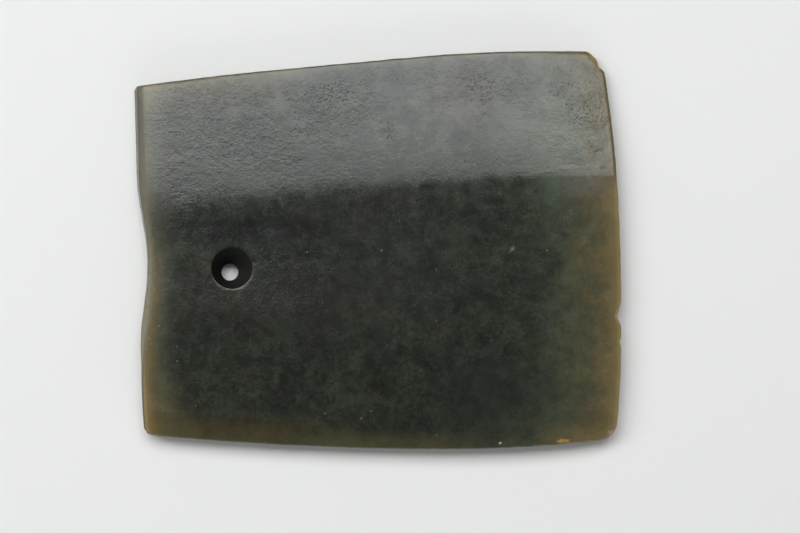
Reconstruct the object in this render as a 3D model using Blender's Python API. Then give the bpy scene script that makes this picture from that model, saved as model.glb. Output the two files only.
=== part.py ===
"""Broad chisel: a ground and polished stone blade, nearly square, with one lashing hole.

The blade is one piece of stone. It lies on its flat back. +X runs from the butt to the cutting
edge, +Y runs across the blade to its thinner side, and +Z points up out of the front face. The
origin is under the middle of the blade, on the surface that it lies on.

The front has two ground planes: a level main one, and a falling one along the +Y side. They meet
at an arris that runs from the butt to the cutting edge. The hole was drilled from both faces: a wide
cone from the front, which leans a little, meets a short one from the back at a narrow waist.
"""

import math

import bmesh
import bpy
import numpy as np
from mathutils import Vector

MM = 0.001
NAME = "broad_chisel"

# Outline of the blade, seen from the front, in millimetres.
THICKNESS = 9.6
TOP_LEVEL = 67.4
TOP_SLOPE = 0.094
TOP_TURN_X = 34.0
TOP_TURN_SOFT = 9.0
TOP_DROOP_X = -38.0
TOP_DROOP_CURVE = 5.5e-4
BOTTOM_LEVEL = -67.32
BOTTOM_LOW_X = 22.8
BOTTOM_CURVE_TO_BUTT = 4.8e-4
BOTTOM_CURVE_TO_EDGE = 1.02e-3
BUTT_X = -81.3
BUTT_LEAN = 0.0262
BUTT_HEEL_Y = -48.0
BUTT_HEEL_CURVE = 2.4e-3
HOLLOW_DEPTH = 2.95
HOLLOW_Y = -3.4
HOLLOW_HALF_WIDTH = 29.5
EDGE_X = 82.22
EDGE_CREST_Y = -25.4
EDGE_POWER = 2.4
EDGE_FALL_TO_TOP = 4.42
EDGE_SPAN_TO_TOP = 78.7
EDGE_FALL_TO_BOTTOM = 1.85
EDGE_SPAN_TO_BOTTOM = 38.1
RADIUS_BUTT_LOW = 2.5
RADIUS_BUTT_HIGH = 1.4
RADIUS_EDGE_LOW = 4.8
RADIUS_EDGE_HIGH = 7.1

# Arris between the two ground planes of the front: its height at the butt, and where its slope
# changes as (x, softness of the turn, change). The facet falls away from it.
ARRIS_AT_BUTT = 15.0
ARRIS_TURNS = ((-56.0, 5.0, 0.105), (7.0, 5.0, -0.028), (40.0, 5.0, -0.055))
FACET_TILT = math.radians(4.2)
FACET_CROWN = 4.7e-4

# How far each face falls or rises towards its borders: (reach, amount).
FRONT_BUTT = (14.0, 0.8)
FRONT_BOTTOM = (9.0, 1.6)
FRONT_EDGE = (33.0, 2.8)
BACK_BUTT = (7.5, 0.8)
BACK_TOP = (5.7, 1.3)
BACK_BOTTOM = (7.5, 1.8)
BACK_EDGE_REACH = 45.0
BACK_EDGE_POWER = 1.6
EDGE_THICKNESS = 1.1
LIP_REACH = 0.8
LIP_DROP = 0.4
LIP_DROP_WORN = 0.12
LIP_SHARE = 0.3

# Border of the front along the butt: a leaning side, then a bevel. Their widths change with y.
BUTT_PLACES = (-60.0, -43.0, -33.0, -24.0, -14.0, -6.0, 5.0, 17.0, 34.0, 55.0)
LEANING_WIDTHS = (0.3, 0.3, 0.3, 0.4, 0.75, 0.8, 0.9, 1.1, 1.3, 1.0)
BEVEL_WIDTHS = (0.3, 0.4, 1.4, 2.4, 1.7, 1.4, 1.6, 2.0, 2.0, 1.7)
BEVEL_SLOPE = 0.42
LEANING_DROP = 4.6
LEANING_POWER = 1.1
LEANING_FOOT = 1.9

# Lashing hole, from the back to the front: the middle, radius and height of its back mouth, its
# waist and its front mouth.
HOLE_SIDES = 48
HOLE_RINGS = (
    ((-50.4, -7.6), 4.3, 0.0),
    ((-50.26, -7.49), 2.9, 3.0),
    ((-49.2, -6.15), 6.96, 9.6),
)
HOLE_OVERRUN = 2.0

# Stations of the loft: distances from each border, and how many share out the rest.
BUTT_STEPS = (0.0, 0.3, 0.6, 0.9, 1.3, 1.8, 2.4, 3.0, 3.7, 5.0, 7.5, 10.5, 14.0)
EDGE_STEPS = (0.0, 0.4, 0.8, 1.9, 3.2, 5.0, 7.1, 9.0, 12.0, 15.5, 20.0, 26.0, 33.0, 38.0, 45.0)
BOTTOM_STEPS = (0.0, 0.4, 0.8, 1.6, 2.5, 3.2, 5.0, 7.5, 9.0)
TOP_STEPS = (0.0, 0.4, 0.8, 1.8, 3.5, 5.7, 7.1)
MIDDLE_COLUMNS = 10
MAIN_ROWS = 13
FACET_ROWS = 7

# Breaks in the border: plan position and radius of each rounded flake scar.
FLAKES = (
    (77.3, 67.75, 4.7),
    (77.5, 63.55, 3.1),
    (83.1, -22.3, 2.65),
    (82.9, -31.1, 1.35),
)
FLAKE_STRETCH = 4.0

STONE_COLOUR = (0.028, 0.034, 0.024, 1.0)
STONE_ROUGHNESS = 0.32


def clear_scene():
    """Remove every object that the scene starts with."""
    for obj in list(bpy.data.objects):
        bpy.data.objects.remove(obj, do_unlink=True)


def make_collection(name, hidden=False):
    """Add a collection to the scene."""
    collection = bpy.data.collections.new(name)
    collection.hide_render = hidden
    bpy.context.scene.collection.children.link(collection)
    return collection


def stone_material():
    """The dark green polished stone."""
    material = bpy.data.materials.new("nephrite")
    material.use_nodes = True
    shader = material.node_tree.nodes["Principled BSDF"]
    shader.inputs["Base Color"].default_value = STONE_COLOUR
    shader.inputs["Roughness"].default_value = STONE_ROUGHNESS
    shader.inputs["Metallic"].default_value = 0.0
    return material


def soft_ramp(value, softness):
    """A ramp that is 0 below zero and the value itself above it, turned softly."""
    return softness * math.log1p(math.exp(value / softness))


def top_y(x):
    """The +Y border: a straight slope that droops at the butt and is level at the cutting edge."""
    slope = TOP_SLOPE * soft_ramp(TOP_TURN_X - x, TOP_TURN_SOFT)
    droop = TOP_DROOP_CURVE * max(TOP_DROOP_X - x, 0.0) ** 2
    return TOP_LEVEL - slope - droop


def bottom_y(x):
    """The -Y border: one shallow curve."""
    curve = BOTTOM_CURVE_TO_BUTT if x < BOTTOM_LOW_X else BOTTOM_CURVE_TO_EDGE
    return BOTTOM_LEVEL + curve * (x - BOTTOM_LOW_X) ** 2


def butt_x(y):
    """The butt: a nearly straight line, worn at its -Y end, with a shallow hollow in its middle."""
    away = min(abs(y - HOLLOW_Y) / HOLLOW_HALF_WIDTH, 1.0)
    hollow = HOLLOW_DEPTH * math.cos(0.5 * math.pi * away) ** 2
    heel = BUTT_HEEL_CURVE * max(BUTT_HEEL_Y - y, 0.0) ** 2
    return BUTT_X - BUTT_LEAN * y + hollow + heel


def edge_x(y):
    """The cutting edge: a long convex curve."""
    if y > EDGE_CREST_Y:
        fall, span = EDGE_FALL_TO_TOP, EDGE_SPAN_TO_TOP
    else:
        fall, span = EDGE_FALL_TO_BOTTOM, EDGE_SPAN_TO_BOTTOM
    return EDGE_X - fall * (abs(y - EDGE_CREST_Y) / span) ** EDGE_POWER


def arris_y(x):
    """Where the two ground planes of the front meet: level at the butt, then straight runs."""
    turns = (change * soft_ramp(x - turn, soft) for turn, soft, change in ARRIS_TURNS)
    return ARRIS_AT_BUTT + sum(turns)


def roll(distance, shape, power=2.0):
    """How far a face has rolled away at a distance from its border, for a (reach, amount) shape."""
    reach, amount = shape
    return amount * max(1.0 - distance / reach, 0.0) ** power


def from_borders(x, y):
    """Distances of a point from the butt, the cutting edge, the -Y border and the +Y border."""
    return x - butt_x(y), edge_x(y) - x, y - bottom_y(x), top_y(x) - y


def front_height(x, y, distances):
    """Height of the front face, before its lip."""
    butt, edge, bottom, top = distances
    past = max(y - arris_y(x), 0.0)
    facet = math.tan(FACET_TILT) * past + FACET_CROWN * past**2
    rolled = roll(butt, FRONT_BUTT) + roll(edge, FRONT_EDGE) + roll(bottom, FRONT_BOTTOM)
    leaning = float(np.interp(y, BUTT_PLACES, LEANING_WIDTHS))
    bevel = float(np.interp(y, BUTT_PLACES, BEVEL_WIDTHS))
    ground = BEVEL_SLOPE * min(max(leaning + bevel - butt, 0.0), bevel)
    face = THICKNESS - facet - rolled - ground
    drop = min(max(face - LEANING_FOOT, 0.0), LEANING_DROP)
    return face - roll(butt, (leaning, drop), LEANING_POWER)


def back_height(x, y, distances):
    """Height of the back face, before its lip. It rises to meet the front along the cutting edge."""
    butt, edge, bottom, top = distances
    at_edge = front_height(x + edge, y, (butt + edge, 0.0, bottom, top)) - EDGE_THICKNESS
    return max(
        roll(butt, BACK_BUTT),
        roll(top, BACK_TOP),
        roll(bottom, BACK_BOTTOM),
        roll(edge, (BACK_EDGE_REACH, at_edge), BACK_EDGE_POWER),
    )


def heights(x, y, distances):
    """Heights of the front and the back at one place, each with the small lip at its border.

    The back's lip runs all round. The front's is full at the +Y border, slight at the -Y border and
    the cutting edge, and absent at the butt.
    """
    butt, edge, bottom, top = distances
    front = front_height(x, y, distances)
    back = min(back_height(x, y, distances), front - EDGE_THICKNESS)
    deepest = min(LIP_DROP, LIP_SHARE * (front - back))
    worn = roll(min(edge, bottom), (LIP_REACH, LIP_DROP_WORN))
    front_lip = max(roll(top, (LIP_REACH, deepest)), worn)
    return front - front_lip, back + roll(min(distances), (LIP_REACH, deepest))


def rounded(near_x, near_y, radius):
    """Move a point of a square corner onto the round one; both values are distances from borders."""
    a, b = radius - near_x, radius - near_y
    if a <= 0.0 or b <= 0.0:
        return 0.0, 0.0
    share = max(a, b) / math.hypot(a, b)
    return a - a * share, b - b * share


def place(column, row):
    """Plan position of one station, and its distances from the four borders."""
    x, y = column(0.0), row(0.0)
    for _ in range(4):
        x = column(y)
        y = row(x)
    distances = from_borders(x, y)
    butt, edge, bottom, top = distances
    for sign_x, near_x, sign_y, near_y, radius in (
        (1, butt, 1, bottom, RADIUS_BUTT_LOW),
        (1, butt, -1, top, RADIUS_BUTT_HIGH),
        (-1, edge, 1, bottom, RADIUS_EDGE_LOW),
        (-1, edge, -1, top, RADIUS_EDGE_HIGH),
    ):
        move_x, move_y = rounded(near_x, near_y, radius)
        x += sign_x * move_x
        y += sign_y * move_y
    return x, y, tuple(max(value, 0.0) for value in distances)


def between(low, high, count):
    """Rules for the stations that share out what lies between two others."""

    def rule(share):
        return lambda along: low(along) + share * (high(along) - low(along))

    return [rule(k / (count + 1)) for k in range(1, count + 1)]


def offset(border, distance):
    """Rule for a station at a distance from a border."""
    return lambda along: border(along) + distance


def column_rules():
    """Stations from the butt to the cutting edge; each gives x from y."""
    near_butt = [offset(butt_x, step) for step in BUTT_STEPS]
    near_edge = [offset(edge_x, -step) for step in reversed(EDGE_STEPS)]
    return near_butt + between(near_butt[-1], near_edge[0], MIDDLE_COLUMNS) + near_edge


def row_rules():
    """Stations from the -Y border to the +Y border; each gives y from x. One row is the arris."""
    near_bottom = [offset(bottom_y, step) for step in BOTTOM_STEPS]
    near_top = [offset(top_y, -step) for step in reversed(TOP_STEPS)]
    main = between(near_bottom[-1], arris_y, MAIN_ROWS)
    facet = between(arris_y, near_top[0], FACET_ROWS)
    return near_bottom + main + [arris_y] + facet + near_top


def add_face(mesh, columns, rows, side):
    """One face of the blade as a grid: side 0 is the front, side 1 the back."""
    across, up = len(columns) - 1, len(rows) - 1
    grid = bmesh.ops.create_grid(mesh, x_segments=across, y_segments=up, size=1.0)
    for vert in grid["verts"]:
        column = round((vert.co.x + 1.0) / 2.0 * across)
        row = round((vert.co.y + 1.0) / 2.0 * up)
        x, y, distances = place(columns[column], rows[row])
        vert.co = Vector((x, y, heights(x, y, distances)[side])) * MM


def loft_blade():
    """The whole blade before its hole and its breaks: two faces joined by a narrow side."""
    columns, rows = column_rules(), row_rules()
    mesh = bmesh.new()
    for side in (0, 1):
        add_face(mesh, columns, rows, side)
    rim = [edge for edge in mesh.edges if edge.is_boundary]
    bmesh.ops.bridge_loops(mesh, edges=rim)
    bmesh.ops.recalc_face_normals(mesh, faces=mesh.faces)
    return mesh


def add_object(name, mesh, collection):
    """Turn a bmesh into an object of a collection."""
    data = bpy.data.meshes.new(name)
    mesh.to_mesh(data)
    mesh.free()
    obj = bpy.data.objects.new(name, data)
    collection.objects.link(obj)
    return obj


def run_on(ring, beyond):
    """The ring that a hole's cone reaches when it runs on past an end ring, away from the next one."""
    (x, y), radius, z = ring
    (next_x, next_y), next_radius, next_z = beyond
    reach = HOLE_OVERRUN / abs(z - next_z)
    middle = (x + reach * (x - next_x), y + reach * (y - next_y))
    return middle, radius + reach * (radius - next_radius), z + reach * (z - next_z)


def hole_cutter(collection):
    """The lashing hole: a short cone and a wide leaning one, which meet at the waist."""
    back, waist, front = HOLE_RINGS
    mesh = bmesh.new()
    loops = []
    for (x, y), radius, z in (run_on(back, waist), waist, run_on(front, waist)):
        circle = bmesh.ops.create_circle(mesh, segments=HOLE_SIDES, radius=radius * MM)
        for vert in circle["verts"]:
            vert.co += Vector((x, y, z)) * MM
        loops.append(list(mesh.edges)[-HOLE_SIDES:])
    for low, high in zip(loops, loops[1:]):
        bmesh.ops.bridge_loops(mesh, edges=low + high)
    bmesh.ops.holes_fill(mesh, edges=mesh.edges, sides=0)
    bmesh.ops.recalc_face_normals(mesh, faces=mesh.faces)
    return add_object("hole_cutter", mesh, collection)


def flake_cutter(number, flake, collection):
    """One tall rounded cutter for a flake broken from the border."""
    x, y, radius = flake
    mesh = bmesh.new()
    bmesh.ops.create_icosphere(mesh, subdivisions=2, radius=radius * MM)
    middle = front_height(x, y, from_borders(x, y))
    for vert in mesh.verts:
        vert.co.z *= FLAKE_STRETCH
        vert.co += Vector((x, y, middle)) * MM
    return add_object(f"flake_cutter_{number}", mesh, collection)


def cut(obj, cutter):
    """Cut one object away from another."""
    cutter.display_type = "WIRE"
    cutter.hide_render = True
    boolean = obj.modifiers.new(cutter.name, "BOOLEAN")
    boolean.operation = "DIFFERENCE"
    boolean.solver = "EXACT"
    boolean.object = cutter


def centre_in_plan(meshes):
    """Shift everything so that the blade's box is centred on the origin, and rests at height 0."""
    points = [vert.co for vert in meshes[0].vertices]
    low = Vector(min(point[axis] for point in points) for axis in range(3))
    high = Vector(max(point[axis] for point in points) for axis in range(3))
    shift = -Vector(((low.x + high.x) / 2.0, (low.y + high.y) / 2.0, low.z))
    for data in meshes:
        for vert in data.vertices:
            vert.co += shift


def main():
    clear_scene()
    parts = make_collection("broad_chisel_parts")
    cutters = make_collection("cutters", hidden=True)
    blade = add_object(NAME, loft_blade(), parts)
    blade.data.materials.append(stone_material())
    tools = [hole_cutter(cutters)]
    tools += [flake_cutter(number, flake, cutters) for number, flake in enumerate(FLAKES)]
    centre_in_plan([blade.data] + [tool.data for tool in tools])
    for tool in tools:
        cut(blade, tool)
    bpy.context.view_layer.update()


main()
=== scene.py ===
"""Looks of the broad chisel: a ground and polished nephrite blade, lit softly on a pale floor.

The blade's visible skin is one closed surface, worked out with numpy from the same named sizes as
its solid, with the small relief that a solid leaves out: pits, scratches, worn arrises and breaks.
Lengths of the blade are in millimetres until its mesh is made, and everything else is in metres.
"""

import logging
import math
from dataclasses import dataclass, field
from enum import Enum
from typing import ClassVar

import bpy
import numpy as np
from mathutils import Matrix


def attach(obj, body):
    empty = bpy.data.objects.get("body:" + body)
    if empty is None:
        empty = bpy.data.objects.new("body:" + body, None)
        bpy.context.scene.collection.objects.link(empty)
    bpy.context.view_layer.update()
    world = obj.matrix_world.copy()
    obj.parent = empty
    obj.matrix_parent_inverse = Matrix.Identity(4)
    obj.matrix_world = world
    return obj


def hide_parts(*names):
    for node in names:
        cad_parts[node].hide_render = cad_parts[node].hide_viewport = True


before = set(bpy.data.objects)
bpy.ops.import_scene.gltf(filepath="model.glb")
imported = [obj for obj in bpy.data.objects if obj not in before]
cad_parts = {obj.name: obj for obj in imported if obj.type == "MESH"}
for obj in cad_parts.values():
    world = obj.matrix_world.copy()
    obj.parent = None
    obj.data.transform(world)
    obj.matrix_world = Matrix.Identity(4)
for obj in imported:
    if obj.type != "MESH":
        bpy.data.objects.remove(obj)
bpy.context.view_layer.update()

Array = np.ndarray
MM = 0.001
TINY = 1e-9
NODE = "broad_chisel"
LOG = logging.getLogger("broad_chisel")


class Side(Enum):
    """The two ground faces of the blade."""

    FRONT = 1
    BACK = -1


def smooth_step(low: float, high: float, value: Array) -> Array:
    """Rise from 0 to 1 between two values: 3t^2 - 2t^3.

    Args:
        low: Value where the rise starts.
        high: Value where it ends.
        value: Where to work it out.

    Returns:
        The risen share at each value.
    """
    share = np.clip((value - low) / (high - low), 0.0, 1.0)
    return share * share * (3.0 - 2.0 * share)


def soft_ramp(value: Array, softness: Array) -> Array:
    """A ramp that is 0 below zero and the value itself above it, turned softly: s ln(1 + e^(v/s)).

    Args:
        value: Distance past the turn.
        softness: How wide the turn is.

    Returns:
        The ramp's height at each value.
    """
    return softness * np.logaddexp(0.0, value / softness)


@dataclass(frozen=True)
class Grain:
    """Smooth noise over the plan: random values on a square lattice, joined by quintic steps.

    Attributes:
        cell: Side of one lattice cell across the blade, in millimetres.
        seed: Seed of the random values.
        stretch: How many times longer a cell is along the blade.
        lattice: Values of the table along each side, before it repeats.
    """

    cell: float
    seed: int
    stretch: float = 1.0
    lattice: ClassVar[int] = 512

    def at(self, x: Array, y: Array) -> Array:
        """Work out the noise.

        Args:
            x: Places along the blade.
            y: Places across the blade.

        Returns:
            Values from -1 to 1.
        """
        table = np.random.default_rng(self.seed).uniform(-1.0, 1.0, (self.lattice, self.lattice))
        middle = self.lattice / 2.0
        across, up = x / (self.cell * self.stretch) + middle, y / self.cell + middle
        column, row = np.floor(across).astype(int), np.floor(up).astype(int)
        part_x, part_y = across - column, up - row
        ease_x = part_x**3 * (part_x * (part_x * 6.0 - 15.0) + 10.0)
        ease_y = part_y**3 * (part_y * (part_y * 6.0 - 15.0) + 10.0)
        column, row = column % (self.lattice - 1), row % (self.lattice - 1)
        low = table[row, column] * (1.0 - ease_x) + table[row, column + 1] * ease_x
        high = table[row + 1, column] * (1.0 - ease_x) + table[row + 1, column + 1] * ease_x
        return low * (1.0 - ease_y) + high * ease_y


@dataclass(frozen=True)
class Waves:
    """One layer of unevenness: a height times a noise.

    Attributes:
        height: Greatest height.
        cell: Cell of the noise.
        stretch: How many times longer its cells are along the blade.
        seed: Seed of the noise, before the face's own is added.
    """

    height: float
    cell: float
    stretch: float
    seed: int

    def at(self, x: Array, y: Array, face_seed: int = 0) -> Array:
        """Heights of the layer."""
        return self.height * Grain(self.cell, face_seed + self.seed, self.stretch).at(x, y)


def shaken(x: Array, y: Array, amount: float, cell: float, seed: int) -> tuple[Array, Array]:
    """Shake places by two noises, so that patches laid on them get ragged borders.

    Args:
        x: Places along the blade.
        y: Places across the blade.
        amount: How far they are shaken at most.
        cell: Cell of the noises.
        seed: Seed of the first noise; the second has the next one.

    Returns:
        The shaken places.
    """
    return x + amount * Grain(cell, seed).at(x, y), y + amount * Grain(cell, seed + 1).at(x, y)


@dataclass(frozen=True)
class Patch:
    """An oval place on the blade where the surface differs, fading out at its border.

    Attributes:
        x: Middle along the blade.
        y: Middle across the blade.
        half_x: Half-length of the oval.
        half_y: Half-width of the oval.
        amount: How strong the difference is.
        turn: Turn of the oval from the blade's length, in degrees.
    """

    x: float
    y: float
    half_x: float
    half_y: float
    amount: float = 1.0
    turn: float = 0.0

    def at(self, x: Array, y: Array) -> Array:
        """Strength of the patch: amount times e^(-(r^2)^2), with r the distance in half-sizes.

        Args:
            x: Places along the blade.
            y: Places across the blade.

        Returns:
            The strength at each place.
        """
        angle = math.radians(self.turn)
        along = (x - self.x) * math.cos(angle) + (y - self.y) * math.sin(angle)
        aside = (y - self.y) * math.cos(angle) - (x - self.x) * math.sin(angle)
        square = (along / self.half_x) ** 2 + (aside / self.half_y) ** 2
        return self.amount * np.exp(-(square**2))


def cover(patches: tuple[Patch, ...], x: Array, y: Array) -> Array:
    """Lay patches over each other; each one covers a share of what is left.

    Args:
        patches: The patches.
        x: Places along the blade.
        y: Places across the blade.

    Returns:
        The covered share, from 0 to 1.
    """
    left = np.ones_like(x)
    for patch in patches:
        left = left * (1.0 - np.clip(patch.at(x, y), 0.0, 1.0))
    return 1.0 - left


@dataclass
class Outline:
    """Border of the blade in plan, with its broken corner and its notches.

    The +Y border is a slope that turns level, the -Y border one shallow curve, the butt a line with
    a hollow and a worn heel, and the cutting edge a long convex curve. The broken corner is given by
    its radii round break_x and break_y at some angles, and break_radius is their mean. Notches are
    given by depths at places across the blade.
    """

    top_level: float = 67.4
    top_slope: float = 0.094
    top_turn_x: float = 34.0
    top_turn_soft: float = 9.0
    droop_x: float = -38.0
    droop_curve: float = 5.5e-4
    bottom_level: float = -67.32
    bottom_low_x: float = 22.8
    bottom_curve_to_butt: float = 4.8e-4
    bottom_curve_to_edge: float = 1.02e-3
    butt_line_x: float = -81.3
    butt_lean: float = 0.0262
    heel_y: float = -48.0
    heel_curve: float = 2.4e-3
    hollow_depth: float = 2.95
    hollow_y: float = -3.4
    hollow_half_width: float = 29.5
    edge_level: float = 82.22
    edge_crest_y: float = -25.4
    edge_power: float = 2.4
    edge_fall_to_top: float = 4.42
    edge_span_to_top: float = 78.7
    edge_fall_to_bottom: float = 1.85
    edge_span_to_bottom: float = 38.1
    arris_level: float = 21.1
    radius_butt_low: float = 2.5
    radius_butt_high: float = 1.4
    radius_edge_low: float = 4.8
    break_x: float = 70.0
    break_y: float = 60.0
    break_angles: tuple[float, ...] = (0.0, 12.0, 21.0, 33.0, 43.0, 51.0, 61.0, 71.0, 82.0, 90.0)
    break_radii: tuple[float, ...] = (6.9, 6.15, 5.3, 5.4, 6.0, 6.25, 6.4, 6.9, 7.35, 7.4)
    break_radius: float = 6.6
    notch_places: tuple[float, ...] = (-17.4, -19.5, -22.0, -23.0, -24.0, -25.9)
    notch_depths: tuple[float, ...] = (0.0, 0.5, 1.35, 1.45, 0.75, 0.0)
    nick_places: tuple[float, ...] = (-29.6, -31.2, -32.6)
    nick_depths: tuple[float, ...] = (0.0, 0.45, 0.0)
    notch_reach: float = 6.0
    ripple: float = 0.05
    ripple_reach: float = 3.0

    def top(self, x: Array) -> Array:
        """Height of the +Y border at each x.

        Args:
            x: Places along the blade.

        Returns:
            Its places across the blade: a level less a slope before the turn, and a droop at the butt.
        """
        slope = self.top_slope * soft_ramp(self.top_turn_x - x, self.top_turn_soft)
        droop = self.droop_curve * np.maximum(self.droop_x - x, 0.0) ** 2
        return self.top_level - slope - droop

    def bottom(self, x: Array) -> Array:
        """Height of the -Y border at each x.

        Args:
            x: Places along the blade.

        Returns:
            Its places across the blade: a level plus a parabola, one towards each end.
        """
        to_butt = x < self.bottom_low_x
        curve = np.where(to_butt, self.bottom_curve_to_butt, self.bottom_curve_to_edge)
        return self.bottom_level + curve * (x - self.bottom_low_x) ** 2

    def butt(self, y: Array) -> Array:
        """Place of the butt at each y.

        Args:
            y: Places across the blade.

        Returns:
            Its places along the blade: a leaning line plus a cosine hollow and a parabola at the heel.
        """
        away = np.minimum(np.abs(y - self.hollow_y) / self.hollow_half_width, 1.0)
        hollow = self.hollow_depth * np.cos(0.5 * math.pi * away) ** 2
        heel = self.heel_curve * np.maximum(self.heel_y - y, 0.0) ** 2
        return self.butt_line_x - self.butt_lean * y + hollow + heel

    def edge(self, y: Array) -> Array:
        """Place of the cutting edge at each y, before it was nicked.

        Args:
            y: Places across the blade.

        Returns:
            Its places along the blade: a level less a fall times (distance from the crest / span)^power.
        """
        up = y > self.edge_crest_y
        fall = np.where(up, self.edge_fall_to_top, self.edge_fall_to_bottom)
        span = np.where(up, self.edge_span_to_top, self.edge_span_to_bottom)
        return self.edge_level - fall * (np.abs(y - self.edge_crest_y) / span) ** self.edge_power

    def nicked(self, y: Array) -> Array:
        """Depth of the notch and the nick in the cutting edge at each y.

        Args:
            y: Places across the blade.

        Returns:
            The depth, in straight runs between the places given.
        """
        notch = np.interp(-y, [-place for place in self.notch_places], self.notch_depths)
        nick = np.interp(-y, [-place for place in self.nick_places], self.nick_depths)
        return notch + nick

    def borders(self, x: Array, y: Array) -> tuple[Array, Array, Array, Array]:
        """Distances from the butt, the cutting edge, the -Y border and the +Y border."""
        found = x - self.butt(y), self.edge(y) - x, y - self.bottom(x), self.top(x) - y
        return tuple(np.maximum(distance, 0.0) for distance in found)

    def round_corner(
        self, x: Array, y: Array, near: tuple[Array, Array], signs: tuple[int, int], radius: float
    ) -> tuple[Array, Array]:
        """Move a square corner's points onto a round one: (a, b) becomes (a, b) max(a, b) / |(a, b)|.

        Args:
            x: Places along the blade.
            y: Places across the blade.
            near: Distances from the corner's two borders.
            signs: Directions from the corner into the blade, along x and y.
            radius: The corner's radius.

        Returns:
            The moved places.
        """
        a, b = radius - near[0], radius - near[1]
        inside = (a > 0.0) & (b > 0.0)
        share = np.maximum(a, b) / np.maximum(np.hypot(a, b), TINY)
        x = np.where(inside, x + signs[0] * (a - a * share), x)
        y = np.where(inside, y + signs[1] * (b - b * share), y)
        return x, y

    def past_break(self, x: Array, y: Array) -> tuple[Array, Array, Array, Array]:
        """Where each place stands in the corner that broke off.

        Args:
            x: Places along the blade.
            y: Places across the blade.

        Returns:
            Its distances past the break's middle along x and y, whether it is past it along both,
            and its share of the way from there to the unbroken border.
        """
        out_x, out_y = x - self.break_x, y - self.break_y
        reach_x = self.edge(y) - self.break_x
        reach_y = self.top(x) - self.break_y
        inside = (out_x > 0.0) & (out_y > 0.0)
        return out_x, out_y, inside, np.maximum(out_x / reach_x, out_y / reach_y)

    def break_corner(self, x: Array, y: Array) -> tuple[Array, Array]:
        """Draw the corner between the cutting edge and the +Y border in to its broken outline.

        A point past the break's middle keeps its share of the way out, and the way out is the
        radius of the broken outline in the point's direction.

        Args:
            x: Places along the blade.
            y: Places across the blade.

        Returns:
            The moved places.
        """
        out_x, out_y, inside, share = self.past_break(x, y)
        angle = np.degrees(np.arctan2(np.maximum(out_y, 0.0), np.maximum(out_x, TINY)))
        radius = np.interp(angle, self.break_angles, self.break_radii)
        length = np.maximum(np.hypot(out_x, out_y), TINY)
        x = np.where(inside, self.break_x + out_x / length * radius * share, x)
        y = np.where(inside, self.break_y + out_y / length * radius * share, y)
        return x, y


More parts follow.
